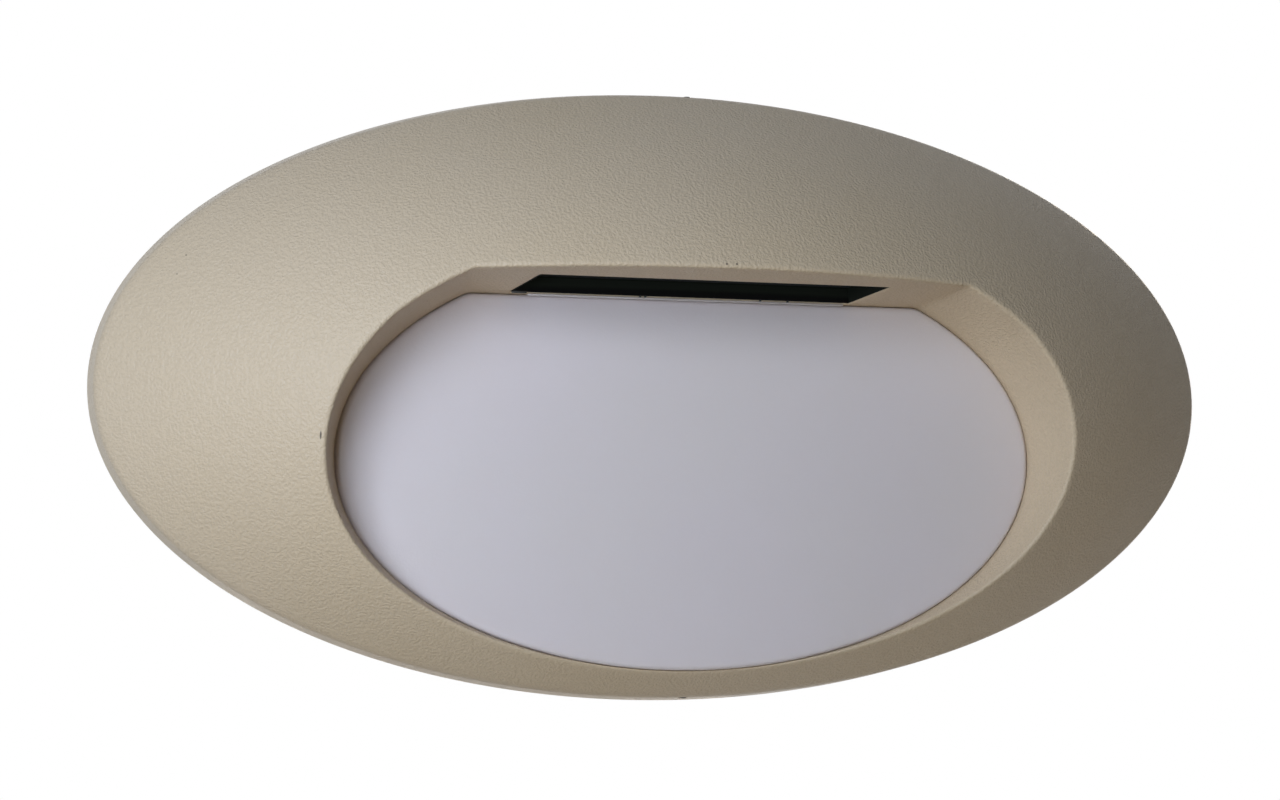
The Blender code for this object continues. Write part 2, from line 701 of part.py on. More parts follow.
def make_front_shell():
    """Domed oval shell with the hooded recess, the vent slot and the screw bosses."""
    edge, edge_end = recess_edge_rings()
    rim, rim_start = rim_edge_rings()
    rings = [d_ring(0, SEAT_DEPTH), knee_ring(edge[0])] + edge
    rings += dome_rings(plan_of(edge_end), rim_start, outer_skin)
    rings += rim
    rings.append(oval(band_inset(SHELL_STANDOFF), SHELL_STANDOFF))
    rings += hidden_skin_rings()
    rings.append(d_ring(RECESS_WALL, SEAT_DEPTH))
    shell = loft("front_shell", rings, SHELL_PAINT, closed=True)

    holes = []
    for index, (x, z) in enumerate(retainer_screw_places()):
        join(shell, boss(f"retainer_boss_{index + 1}", x, z, FLANGE_BACK))
        holes.append((spot(x, z, FLANGE_BACK - CUT_OVERRUN), spot(x, z, FLANGE_BACK + BOSS_HOLE_DEPTH),
                      SCREW_SHANK_RADIUS + GAP))
    for index, side in enumerate((-1, 1), 1):
        x, z = side * BAFFLE_SCREW_X, baffle_middle_z()
        start = BAFFLE_BACK + BAFFLE_WALL + GAP
        join(shell, boss(f"baffle_boss_{index}", x, z, start))
        holes.append((spot(x, z, start - CUT_OVERRUN), spot(x, z, start + BOSS_HOLE_DEPTH),
                      SCREW_SHANK_RADIUS + GAP))
        edge_z = side * (HALF_HEIGHT - SHELL_WALL / 2)
        pad_z = side * (HALF_HEIGHT - BASE_RIM_INSET + GAP)
        pad = boxes(f"grub_pad_{index}", [((-GRUB_PAD_HALF, pad_z, SEAL_FRONT + GAP),
                                           (GRUB_PAD_HALF, edge_z - side * BAND_TAPER, BAND_DEPTH))],
                    cutter=True)
        join(shell, pad)
        holes.append((spot(0, side * (HALF_HEIGHT + CUT_OVERRUN), GRUB_DEPTH),
                      spot(0, pad_z - side * CUT_OVERRUN, GRUB_DEPTH), GRUB_RADIUS + GAP))
    cut(shell, rods("shell_holes", holes, cutter=True))
    slot_top = hood_wall_z(SLOT_FAR_DEPTH, RECESS_WALL) + CUT_OVERRUN
    cut(shell, boxes("vent_slot", [((-SLOT_HALF_LENGTH, FLAT_RISE - CUT_OVERRUN, SLOT_NEAR_DEPTH),
                                    (SLOT_HALF_LENGTH, slot_top, SLOT_FAR_DEPTH))], cutter=True))


# Diffuser, gasket and frame

def make_diffuser():
    """Moulded opal pan: a domed front, a rounded edge, a skirt and a flange."""
    skirt = -DIFFUSER_GAP
    rounded = skirt - DIFFUSER_EDGE
    side_depth = DIFFUSER_DEPTH - DIFFUSER_EDGE
    middle_z = (FLAT_RISE - RECESS_DROP - RECESS_HALF_HEIGHT) / 2

    def crown(outward, share, depth):
        ring = []
        for x, z in d_plan(outward):
            ring.append(spot(x * share, middle_z + (z - middle_z) * share,
                             depth + DIFFUSER_BULGE * (1 - share ** 2)))
        return ring

    shares = [step / DOME_STEPS for step in range(DOME_STEPS - 1, 0, -1)]
    hidden_reach = skirt - DIFFUSER_WALL
    hidden_depth = DIFFUSER_DEPTH - DIFFUSER_WALL
    front_edge = shell_fillet(d_ring(skirt, side_depth), d_ring(skirt, DIFFUSER_DEPTH),
                              crown(rounded, 1, DIFFUSER_DEPTH))
    rings = [crown(hidden_reach, share, hidden_depth) for share in shares[::-1]]
    rings += [crown(hidden_reach, 1, hidden_depth), d_ring(hidden_reach, FLANGE_BACK)]
    rings += [d_ring(FLANGE_REACH, FLANGE_BACK), d_ring(FLANGE_REACH, FLANGE_FRONT)]
    rings += [d_ring(skirt, FLANGE_FRONT)] + front_edge
    rings += [crown(rounded, share, DIFFUSER_DEPTH) for share in shares]
    loft("diffuser", rings, OPAL)


def d_band(name, outer, inner, back, front, material):
    """A flat D-shaped ring between two reaches and two depths."""
    rings = [d_ring(outer, back), d_ring(outer, front), d_ring(inner, front), d_ring(inner, back)]
    return loft(name, rings, material, closed=True)


def make_diffuser_gasket():
    """Flat silicone ring between the shell's seat and the diffuser's flange."""
    d_band("diffuser_gasket", FLANGE_REACH, FLANGE_REACH - GASKET_WIDTH, FLANGE_FRONT + GAP,
           SEAT_DEPTH - GAP, SILICONE)


def make_diffuser_retainer():
    """Frame with six lugs that clamps the diffuser against the shell."""
    frame = d_band("diffuser_retainer", FLANGE_REACH, -RETAINER_INSET, RETAINER_BACK, RETAINER_FRONT,
                   ZINC)
    lugs, holes = [], []
    for x, z in retainer_screw_places():
        low = spot(x, z, RETAINER_BACK + JOIN_STEP)
        high = spot(x, z, RETAINER_FRONT - JOIN_STEP)
        lugs.append((low, high, BOSS_RADIUS + RETAINER_LUG_MARGIN))
        holes.append((spot(x, z, RETAINER_BACK - CUT_OVERRUN), spot(x, z, RETAINER_FRONT + CUT_OVERRUN),
                      SCREW_SHANK_RADIUS + GAP))
    join(frame, rods("retainer_lugs", lugs, cutter=True))
    cut(frame, rods("retainer_holes", holes, cutter=True))


# Screws

def screw_blank(name, length, material=ZINC):
    """A flat-headed screw with a hexagon socket; its head's seat is at the origin, head up."""
    profile = [(0, SCREW_HEAD_HEIGHT), (SCREW_HEAD_RADIUS, SCREW_HEAD_HEIGHT), (SCREW_HEAD_RADIUS, 0),
               (SCREW_SHANK_RADIUS, 0), (SCREW_SHANK_RADIUS, -length), (0, -length)]
    blank = turned(name, profile, material)
    floor = Vector((0, 0, SCREW_HEAD_HEIGHT - SCREW_SOCKET_DEPTH))
    mouth = Vector((0, 0, SCREW_HEAD_HEIGHT + CUT_OVERRUN))
    socket = rods(name + "_socket", [(floor, mouth, SCREW_SOCKET_RADIUS)], cutter=True, sides=6)
    cut(blank, socket)
    bpy.context.view_layer.update()
    return applied(blank)


def set_screws(stem, places, length, seat_depth, facing, material=ZINC):
    """Equal screws with their heads on a depth; facing 1 shows the heads at the front, -1 at the back."""
    first = screw_blank(f"{stem}_1", length, material)
    for index, (x, z) in enumerate(places):
        screw = first if index == 0 else link(f"{stem}_{index + 1}", first.data.copy(), material)
        screw.location = spot(x, z, seat_depth + facing * GAP)
        screw.rotation_euler = (facing * math.pi / 2, 0, 0)


def make_cover_screws():
    """Screws of the diffuser's frame and of the baffle, both driven from behind."""
    set_screws("retainer_screw", retainer_screw_places(), RETAINER_SCREW_LENGTH, RETAINER_BACK, -1)
    places = [(side * BAFFLE_SCREW_X, baffle_middle_z()) for side in (-1, 1)]
    set_screws("baffle_screw", places, BAFFLE_SCREW_LENGTH, BAFFLE_BACK, -1)


def make_cover_grubs():
    """Two grub screws, top and bottom, that bear on the base's raised edge."""
    outer = HALF_HEIGHT - band_inset(GRUB_DEPTH)
    inner = HALF_HEIGHT - BASE_RIM_INSET + GAP
    socket = inner + (outer - inner) / 2
    for number, side in enumerate((1, -1), 1):
        grub = rods(f"cover_grub_{number}", [(spot(0, side * inner, GRUB_DEPTH),
                                              spot(0, side * outer, GRUB_DEPTH), GRUB_RADIUS)], ZINC)
        key = rods(f"cover_grub_{number}_socket", [(spot(0, side * socket, GRUB_DEPTH),
                                                    spot(0, side * (outer + CUT_OVERRUN), GRUB_DEPTH),
                                                    GRUB_RADIUS / 2)], cutter=True, sides=6)
        cut(grub, key)


# Vent baffle

def prism(name, low_x, high_x, outline, material=None, cutter=False):
    """A bar along X with a cross-section given as heights and depths."""
    rings = [[spot(x, z, depth) for z, depth in outline] for x in (low_x, high_x)]
    return loft(name, rings, material, cutter=cutter)


def make_vent_baffle():
    """Black trough behind the vent slot, open towards it, with air slits in its back."""
    behind = RECESS_WALL + GAP
    outside = [(hood_wall_z(BAFFLE_BACK, behind), BAFFLE_BACK), (BAFFLE_TOP_Z, BAFFLE_BACK),
               (BAFFLE_TOP_Z, BAFFLE_FRONT), (hood_wall_z(BAFFLE_FRONT, behind), BAFFLE_FRONT)]
    baffle = prism("vent_baffle", -BAFFLE_HALF_LENGTH, BAFFLE_HALF_LENGTH, outside, BLACK_PLASTIC)
    near, far = BAFFLE_BACK + BAFFLE_WALL, BAFFLE_FRONT - BAFFLE_WALL
    ceiling = BAFFLE_TOP_Z - BAFFLE_WALL
    inside = [(FLAT_RISE, near), (ceiling, near), (ceiling, far), (FLAT_RISE, far)]
    inner_half = BAFFLE_HALF_LENGTH - BAFFLE_WALL
    tab_low = hood_wall_z(BAFFLE_BACK, behind)
    tab_edge = BAFFLE_HALF_LENGTH + BAFFLE_TAB_REACH
    tabs = boxes("baffle_tabs", [((side * (BAFFLE_HALF_LENGTH - BAFFLE_WALL / 2), tab_low + GAP, BAFFLE_BACK),
                                  (side * tab_edge, tab_low + BAFFLE_TAB_HEIGHT, near))
                                 for side in (-1, 1)], cutter=True)
    join(baffle, tabs)
    cut(baffle, prism("baffle_hollow", -inner_half, inner_half, inside, cutter=True))
    slit_top = ceiling - GAP
    pitch = 2 * inner_half / BAFFLE_SLIT_COUNT
    slit_half = (pitch - BAFFLE_SLIT_BAR) / 2
    slits = []
    for index in range(BAFFLE_SLIT_COUNT):
        x = pitch * (index - (BAFFLE_SLIT_COUNT - 1) / 2)
        slits.append(((x - slit_half, slit_top - BAFFLE_SLIT_HEIGHT, BAFFLE_BACK - CUT_OVERRUN),
                      (x + slit_half, slit_top, near + CUT_OVERRUN)))
    cut(baffle, boxes("baffle_slits", slits, cutter=True))
    holes = [(spot(side * BAFFLE_SCREW_X, baffle_middle_z(), BAFFLE_BACK - CUT_OVERRUN),
              spot(side * BAFFLE_SCREW_X, baffle_middle_z(), near + CUT_OVERRUN),
              SCREW_SHANK_RADIUS + GAP) for side in (-1, 1)]
    cut(baffle, rods("baffle_holes", holes, cutter=True))


# Base plate and the rubber parts on it

def post_places():
    """Plan positions of the four posts that carry the gear tray."""
    return [board_place(shares) for shares in POST_PLACE_SHARES]


def driver_screw_places():
    """Plan positions of the driver's two screws."""
    reach = DRIVER_HALF_LENGTH + DRIVER_EAR / 2
    return [(side * reach, DRIVER_MIDDLE_Z) for side in (-1, 1)]


def make_base_plate():
    """Cast oval plate with a raised edge, posts, a cable entry and slots for the wall screws."""
    groove_out = GROOVE_INSET
    groove_in = GROOVE_INSET + GROOVE_WIDTH
    foot = SHELL_WALL + FOOT_PLAY
    profile = [(groove_in, 0), (groove_in, GROOVE_DEPTH), (groove_out, GROOVE_DEPTH), (groove_out, 0),
               (foot, 0), (foot, FOOT_THICKNESS), (BASE_RIM_INSET, FOOT_THICKNESS),
               (BASE_RIM_INSET, BASE_RIM_DEPTH), (BASE_INNER_INSET, BASE_RIM_DEPTH),
               (BASE_INNER_INSET, BASE_THICKNESS)]
    base = loft("base_plate", [oval(inset, depth) for inset, depth in profile], CAST_METAL)

    root = BASE_THICKNESS / 2
    posts = [(spot(x, z, root), spot(x, z, BASE_THICKNESS + TRAY_LIFT), POST_RADIUS)
             for x, z in post_places()]
    posts += [(spot(x, z, root), spot(x, z, BASE_THICKNESS + DRIVER_LIFT), POST_RADIUS)
              for x, z in driver_screw_places()]
    posts.append((spot(EARTH_X, EARTH_Z, root), spot(EARTH_X, EARTH_Z, EARTH_BOSS_DEPTH), EARTH_BOSS_RADIUS))
    join(base, rods("base_posts", posts, cutter=True))

    holes = [(spot(x, z, HOLE_FLOOR), spot(x, z, BASE_THICKNESS + TRAY_LIFT + CUT_OVERRUN),
              SCREW_SHANK_RADIUS + GAP) for x, z in post_places()]
    holes += [(spot(x, z, HOLE_FLOOR), spot(x, z, BASE_THICKNESS + DRIVER_LIFT + CUT_OVERRUN),
               SCREW_SHANK_RADIUS + GAP) for x, z in driver_screw_places()]
    holes.append((spot(EARTH_X, EARTH_Z, HOLE_FLOOR), spot(EARTH_X, EARTH_Z, EARTH_BOSS_DEPTH + CUT_OVERRUN),
                  STUD_RADIUS + GAP))
    cut(base, rods("base_holes", holes, cutter=True))

    entry = [circle(ENTRY_X, ENTRY_Z, ENTRY_RADIUS + ENTRY_LIP + GAP, -CUT_OVERRUN),
             circle(ENTRY_X, ENTRY_Z, ENTRY_RADIUS + ENTRY_LIP + GAP, ENTRY_LIP_DEPTH),
             circle(ENTRY_X, ENTRY_Z, ENTRY_RADIUS, ENTRY_LIP_DEPTH),
             circle(ENTRY_X, ENTRY_Z, ENTRY_RADIUS, BASE_THICKNESS + CUT_OVERRUN)]
    cut(base, loft("cable_entry", entry, cutter=True))
    for name, x in (("wall_slot_left", -WALL_SLOT_X), ("wall_slot_right", WALL_SLOT_X)):
        ends = [slot_ring(x, depth) for depth in (-CUT_OVERRUN, BASE_THICKNESS + CUT_OVERRUN)]
        cut(base, loft(name, ends, cutter=True))


def slot_ring(x, depth):
    """Outline of a round-ended slot along X."""
    radius = WALL_SLOT_WIDTH / 2
    half = WALL_SLOT_LENGTH / 2 - radius
    ring = []
    for side, start in ((1, -math.pi / 2), (-1, math.pi / 2)):
        for step in range(ROUND_STEPS // 2):
            turn = start + math.pi * step / (ROUND_STEPS // 2 - 1)
            ring.append(spot(x + side * half + radius * math.cos(turn), radius * math.sin(turn), depth))
    return ring


def oval_band(name, outer, inner, back, front, material):
    """A flat oval ring between two insets and two depths."""
    rings = [oval(outer, back), oval(outer, front), oval(inner, front), oval(inner, back)]
    return loft(name, rings, material, closed=True)


def make_rubber_parts():
    """Wall gasket in the base's groove, cover seal round its edge, and the cable grommet."""
    oval_band("wall_gasket", GROOVE_INSET + GAP, GROOVE_INSET + GROOVE_WIDTH - GAP, 0,
              GROOVE_DEPTH - GAP, RUBBER)
    oval_band("cover_seal", SEAL_INSET, SEAL_INSET + SEAL_WIDTH, SEAL_BACK, SEAL_FRONT, RUBBER)

    neck = ENTRY_RADIUS - GAP
    lip = ENTRY_RADIUS + ENTRY_LIP
    shoulder = BASE_THICKNESS + GAP
    collar = shoulder + GROMMET_FLANGE_HEIGHT
    profile = [(GROMMET_BORE, collar + GROMMET_NOSE_HEIGHT), (GROMMET_NOSE_RADIUS, collar + GROMMET_NOSE_HEIGHT),
               (GROMMET_NOSE_RADIUS, collar), (GROMMET_FLANGE, collar), (GROMMET_FLANGE, shoulder),
               (neck, shoulder), (neck, ENTRY_LIP_DEPTH - GAP), (lip, ENTRY_LIP_DEPTH - GAP),
               (lip, GAP), (GROMMET_BORE, GAP)]
    grommet = turned("cable_grommet", profile, RUBBER, ring=True)
    grommet.location = spot(ENTRY_X, ENTRY_Z, 0)
    grommet.rotation_euler = (math.pi / 2, 0, 0)


# Gear tray and LED board

def make_gear_tray():
    """White D-shaped pan on the base's posts, with its rim notched for the leads."""
    floor, rim = -TRAY_FLOOR_INSET, -TRAY_RIM_INSET
    rings = [d_ring(floor, TRAY_BACK), d_ring(rim, TRAY_RIM_DEPTH), d_ring(rim - TRAY_SHEET, TRAY_RIM_DEPTH),
             d_ring(floor - TRAY_SHEET, TRAY_BACK + TRAY_SHEET)]
    tray = loft("gear_tray", rings, WHITE_SHEET)
    holes = [(spot(x, z, TRAY_BACK - CUT_OVERRUN), spot(x, z, TRAY_BACK + TRAY_SHEET + CUT_OVERRUN),
              SCREW_SHANK_RADIUS + GAP) for x, z in post_places()]
    cut(tray, rods("tray_holes", holes, cutter=True))
    notch_low = FLAT_RISE - TRAY_FLOOR_INSET - TRAY_NOTCH_REACH
    cut(tray, boxes("tray_notch", [((TRAY_NOTCH_X - TRAY_NOTCH_WIDTH / 2, notch_low, TRAY_BACK + TRAY_SHEET),
                                    (TRAY_NOTCH_X + TRAY_NOTCH_WIDTH / 2, FLAT_RISE,
                                     TRAY_RIM_DEPTH + CUT_OVERRUN))], cutter=True))


def chip_places():
    """Plan positions of the LED chips in their rows."""
    places = []
    for row_share in CHIP_ROW_SHARES:
        for column in range(CHIP_COLUMNS):
            across = CHIP_REACH_SHARE * (2 * column / (CHIP_COLUMNS - 1) - 1)
            places.append(board_place((across, row_share)))
    return places


def make_led_board():
    """D-shaped board with its rows of chips, and the connector its leads plug into."""
    board = loft("led_board", [d_ring(-BOARD_INSET, BOARD_BACK), d_ring(-BOARD_INSET, BOARD_FRONT)],
                 BOARD_WHITE)
    root = BOARD_FRONT - BOARD_THICKNESS / 2
    half = CHIP_SIZE / 2
    chips = [((x - half, z - half, root), (x + half, z + half, BOARD_FRONT + CHIP_HEIGHT))
             for x, z in chip_places()]
    join(board, boxes("led_chips", chips, cutter=True))
    holes = [(spot(x, z, BOARD_BACK - CUT_OVERRUN), spot(x, z, BOARD_FRONT + CUT_OVERRUN),
              SCREW_SHANK_RADIUS + GAP) for x, z in post_places()]
    cut(board, rods("board_holes", holes, cutter=True))

    back = BOARD_FRONT + GAP
    boxes("board_connector", [((TRAY_NOTCH_X - CONNECTOR_WIDTH / 2, CONNECTOR_Z - CONNECTOR_LENGTH / 2, back),
                               (TRAY_NOTCH_X + CONNECTOR_WIDTH / 2, CONNECTOR_Z + CONNECTOR_LENGTH / 2,
                                back + CONNECTOR_HEIGHT))], WHITE_SHEET)
    set_screws("tray_screw", post_places(), BOARD_FRONT - HOLE_FLOOR, BOARD_FRONT, 1)


# LED driver

def make_driver():
    """Driver case with a fixing ear at each end, its lid and its two screws."""
    low_z = DRIVER_MIDDLE_Z - DRIVER_WIDTH / 2
    high_z = DRIVER_MIDDLE_Z + DRIVER_WIDTH / 2
    case = boxes("driver_case", [((-DRIVER_HALF_LENGTH, low_z, DRIVER_BACK),
                                  (DRIVER_HALF_LENGTH, high_z, DRIVER_FRONT))], DRIVER_WHITE)
    ear_reach = DRIVER_HALF_LENGTH + DRIVER_EAR
    ears = [((side * DRIVER_HALF_LENGTH / 2, low_z + DRIVER_WIDTH / 4, DRIVER_BACK + GAP),
             (side * ear_reach, high_z - DRIVER_WIDTH / 4, DRIVER_BACK + DRIVER_EAR_THICKNESS))
            for side in (-1, 1)]
    join(case, boxes("driver_ears", ears, cutter=True))
    cut(case, boxes("driver_hollow", [((DRIVER_WALL - DRIVER_HALF_LENGTH, low_z + DRIVER_WALL,
                                        DRIVER_BACK + DRIVER_EAR_THICKNESS + DRIVER_WALL),
                                       (DRIVER_HALF_LENGTH - DRIVER_WALL, high_z - DRIVER_WALL,
                                        DRIVER_FRONT + CUT_OVERRUN))], cutter=True))
    holes = [(spot(x, z, DRIVER_BACK - CUT_OVERRUN), spot(x, z, DRIVER_BACK + DRIVER_EAR_THICKNESS + CUT_OVERRUN),
              SCREW_SHANK_RADIUS + GAP) for x, z in driver_screw_places()]
    cut(case, rods("driver_holes", holes, cutter=True))

    lid = boxes("driver_lid", [((-DRIVER_HALF_LENGTH, low_z, DRIVER_FRONT + GAP),
                                (DRIVER_HALF_LENGTH, high_z, DRIVER_FRONT + GAP + DRIVER_LID))], DRIVER_WHITE)
    bevel(lid, DRIVER_LID / 3)
    seat = DRIVER_BACK + DRIVER_EAR_THICKNESS
    set_screws("driver_screw", driver_screw_places(), DRIVER_SCREW_LENGTH, seat, 1)


# Terminal block with levers

def terminal_poles():
    """X positions of the three poles: earth, neutral and live."""
    return [TERMINAL_X + TERMINAL_PITCH * (pole - 1) for pole in range(3)]


def make_terminal_block():
    """Block with a channel for each lever and a wire hole at both ends of each pole."""
    high_z = TERMINAL_LOW_Z + TERMINAL_LENGTH
    block = boxes("terminal_block", [((TERMINAL_X - TERMINAL_WIDTH / 2, TERMINAL_LOW_Z, TERMINAL_BACK),
                                      (TERMINAL_X + TERMINAL_WIDTH / 2, high_z, TERMINAL_FRONT))],
                  TERMINAL_GREY)
    half = LEVER_WIDTH / 2 + GAP
    floor = TERMINAL_FRONT - 2 * LEVER_EYE - GAP
    channels = [((x - half, TERMINAL_LOW_Z + TERMINAL_LIP, floor), (x + half, high_z + CUT_OVERRUN,
                                                                   TERMINAL_FRONT + CUT_OVERRUN))
                for x in terminal_poles()]
    cut(block, boxes("lever_channels", channels, cutter=True))
    holes = []
    for x in terminal_poles():
        holes.append((spot(x, TERMINAL_LOW_Z - CUT_OVERRUN, TERMINAL_WIRE_DEPTH),
                      spot(x, TERMINAL_LOW_Z + TERMINAL_HOLE_REACH, TERMINAL_WIRE_DEPTH), TERMINAL_WIRE_HOLE))
        holes.append((spot(x, high_z + CUT_OVERRUN, TERMINAL_WIRE_DEPTH),
                      spot(x, high_z - TERMINAL_HOLE_REACH, TERMINAL_WIRE_DEPTH), TERMINAL_WIRE_HOLE))
    cut(block, rods("wire_holes", holes, cutter=True))


def lever_outline():
    """Side view of a lever: an eye round the hinge and an arm that tapers to its tip."""
    points = []
    for step in range(ROUND_STEPS + 1):
        turn = math.pi / 2 + math.pi * 3 / 2 * step / ROUND_STEPS
        points.append((LEVER_EYE * math.cos(turn), LEVER_EYE * math.sin(turn)))
    arm_low = LEVER_EYE - LEVER_THICKNESS
    return points + [(LEVER_EYE, arm_low), (LEVER_REACH, arm_low + LEVER_THICKNESS / 2), (LEVER_REACH, LEVER_EYE)]


def make_terminal_levers():
    """Three levers, each with its origin on its hinge."""
    lie = Matrix(((0, 0, 1), (0, -1, 0), (1, 0, 0))).to_4x4()
    for number, x in enumerate(terminal_poles(), 1):
        outline = bpy.data.curves.new(f"terminal_lever_{number}", "CURVE")
        outline.dimensions = "2D"
        outline.fill_mode = "BOTH"
        outline.extrude = LEVER_WIDTH / 2
        spline = outline.splines.new("POLY")
        points = lever_outline()
        spline.points.add(len(points) - 1)
        for target, (along, up) in zip(spline.points, points):
            target.co = (along, up, 0, 1)
        spline.use_cyclic_u = True
        lever = link(f"terminal_lever_{number}", outline, LEVER_ORANGE)
        lever.matrix_world = Matrix.Translation(spot(x, LEVER_AXIS_Z, LEVER_AXIS_DEPTH)) @ lie
        bpy.context.view_layer.update()
        applied(lever)


# Earth stud and leads

def make_earth_point():
    """Stud in the base, with the earth lead's ring tag and the nut that clamps it."""
    rods("earth_stud", [(spot(EARTH_X, EARTH_Z, HOLE_FLOOR + GAP), spot(EARTH_X, EARTH_Z, STUD_DEPTH),
                         STUD_RADIUS)], BRASS)
    bore = STUD_RADIUS + GAP
    tag_back = EARTH_BOSS_DEPTH + GAP
    tag_front = tag_back + TAG_THICKNESS
    tag = rods("earth_tag", [(spot(EARTH_X, EARTH_Z, tag_back), spot(EARTH_X, EARTH_Z, tag_front), TAG_RADIUS)],
               ZINC)
    join(tag, boxes("tag_tail", [((EARTH_X, EARTH_Z - TAG_TAIL_WIDTH / 2, tag_back + JOIN_STEP),
                                  (EARTH_X + TAG_TAIL, EARTH_Z + TAG_TAIL_WIDTH / 2,
                                   tag_front - JOIN_STEP))], cutter=True))
    nut_back = tag_front + GAP
    nut = rods("earth_nut", [(spot(EARTH_X, EARTH_Z, nut_back), spot(EARTH_X, EARTH_Z, nut_back + NUT_HEIGHT),
                              NUT_RADIUS)], BRASS, sides=6)
    hole = rods("stud_clearance", [(spot(EARTH_X, EARTH_Z, tag_back - CUT_OVERRUN),
                                    spot(EARTH_X, EARTH_Z, nut_back + NUT_HEIGHT + CUT_OVERRUN), bore)],
                cutter=True)
    cut(tag, hole)
    cut(nut, hole)


def lead(name, route, material):
    """A wire of one radius on a smooth route."""
    path = bpy.data.curves.new(name, "CURVE")
    path.dimensions = "3D"
    path.bevel_depth = LEAD_RADIUS
    path.bevel_resolution = 1
    path.use_fill_caps = True
    spline = path.splines.new("POLY")
    points = smooth_route(route)
    spline.points.add(len(points) - 1)
    for target, point in zip(spline.points, points):
        target.co = (*point, 1)
    wire = link(name, path, material)
    bpy.context.view_layer.update()
    applied(wire)


def make_leads():
    """Supply leads from the terminals, the earth lead, and the two leads of the LED board."""
    earth, neutral, live = terminal_poles()
    high_z = TERMINAL_LOW_Z + TERMINAL_LENGTH + GAP
    depth = TERMINAL_WIRE_DEPTH
    step = TERMINAL_PITCH / 4
    driver_x = -DRIVER_HALF_LENGTH - GAP
    driver_depth = DRIVER_FRONT - 2 * DRIVER_WALL - LEAD_RADIUS
    for name, start_x, level, material in (("lead_live", live, 1, LEAD_BROWN),
                                           ("lead_neutral", neutral, 2, LEAD_BLUE)):
        z = high_z + step * level
        lead(name, [spot(start_x, high_z, depth), spot(start_x, high_z + step / 2 * level, depth),
                    spot(start_x + step, z, depth), spot(start_x + 2 * step, z, depth),
                    spot((live + driver_x) / 2 + 2 * step, z, (depth + driver_depth) / 2),
                    spot(driver_x - 2 * step, z, driver_depth), spot(driver_x, z, driver_depth)], material)

    tag_depth = EARTH_BOSS_DEPTH + GAP + TAG_THICKNESS / 2
    tag_x = EARTH_X + TAG_TAIL + GAP
    low_z = TERMINAL_LOW_Z - GAP
    lead("lead_earth", [spot(earth, low_z, depth), spot(earth, low_z - step, depth),
                        spot(earth - step, low_z - 2 * step, depth),
                        spot((earth + tag_x) / 2, (low_z - 2 * step + EARTH_Z) / 2, tag_depth + LEAD_RADIUS),
                        spot(tag_x + step / 2, EARTH_Z, tag_depth), spot(tag_x, EARTH_Z, tag_depth)],
         LEAD_GREEN)

    start_z = DRIVER_TOP_Z - DRIVER_WIDTH - GAP
    end_z = CONNECTOR_Z + CONNECTOR_LENGTH / 2 + GAP
    rim_z = FLAT_RISE + 2 * step
    start_depth = DRIVER_BACK + DRIVER_HEIGHT / 2
    rim_depth = (TRAY_BACK + TRAY_SHEET + RETAINER_BACK) / 2
    plug_depth = BOARD_FRONT + GAP + CONNECTOR_HEIGHT / 2
    for name, side, material in (("lead_led_plus", 1, LEAD_RED), ("lead_led_minus", -1, LEAD_BLACK)):
        x = TRAY_NOTCH_X + side * CONNECTOR_WIDTH / 4
        lead(name, [spot(x, start_z, start_depth), spot(x, start_z - step, start_depth),
                    spot(x, (start_z - step + rim_z) / 2, (start_depth + rim_depth) / 2),
                    spot(x, rim_z, rim_depth), spot(x, FLAT_RISE - TRAY_FLOOR_INSET, rim_depth),
                    spot(x, end_z + step / 2, plug_depth), spot(x, end_z, plug_depth)], material)


def settle():
    """Apply the cuts and unions, and mark the hard corners that they leave."""
    bpy.context.view_layer.update()
    for piece in list(PARTS.objects):
        if piece.modifiers:
            applied(piece)


def main():
    """Build the lamp from the wall outwards."""
    for left_over in list(bpy.data.objects):
        bpy.data.objects.remove(left_over)
    for group in (PARTS, CUTTERS):
        bpy.context.scene.collection.children.link(group)
    make_base_plate()
    make_rubber_parts()
    make_terminal_block()
    make_terminal_levers()
    make_earth_point()
    make_driver()
    make_gear_tray()
    make_led_board()
    make_leads()
    make_front_shell()
    make_diffuser()
    make_diffuser_gasket()
    make_diffuser_retainer()
    make_vent_baffle()
    make_cover_screws()
    make_cover_grubs()
    settle()


main()
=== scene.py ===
"""Looks of the oval wall lamp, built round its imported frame.

Metres, +X to the right, +Z up, the wall plane at Y = 0 and the lamp standing out along -Y. A depth
is a distance from the wall.
"""

import logging
import math
from dataclasses import dataclass, field
from enum import Enum
from typing import Callable, Iterable, Sequence

import bmesh
import bpy
from mathutils import Matrix, Vector


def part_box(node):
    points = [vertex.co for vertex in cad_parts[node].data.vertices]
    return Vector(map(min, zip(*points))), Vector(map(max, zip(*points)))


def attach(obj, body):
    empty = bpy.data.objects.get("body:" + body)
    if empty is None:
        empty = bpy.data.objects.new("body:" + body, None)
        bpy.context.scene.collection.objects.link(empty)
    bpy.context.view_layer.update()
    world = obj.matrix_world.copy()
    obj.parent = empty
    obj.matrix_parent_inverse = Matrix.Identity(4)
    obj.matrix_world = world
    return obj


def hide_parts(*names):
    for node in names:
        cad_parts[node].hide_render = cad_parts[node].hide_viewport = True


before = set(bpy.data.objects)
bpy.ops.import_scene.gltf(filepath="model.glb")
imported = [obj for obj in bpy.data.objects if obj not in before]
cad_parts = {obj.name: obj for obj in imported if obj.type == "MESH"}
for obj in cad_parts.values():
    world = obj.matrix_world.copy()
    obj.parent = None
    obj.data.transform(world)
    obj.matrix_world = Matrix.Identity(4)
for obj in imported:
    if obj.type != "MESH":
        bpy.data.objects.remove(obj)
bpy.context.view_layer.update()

LOG = logging.getLogger("wall_lamp")

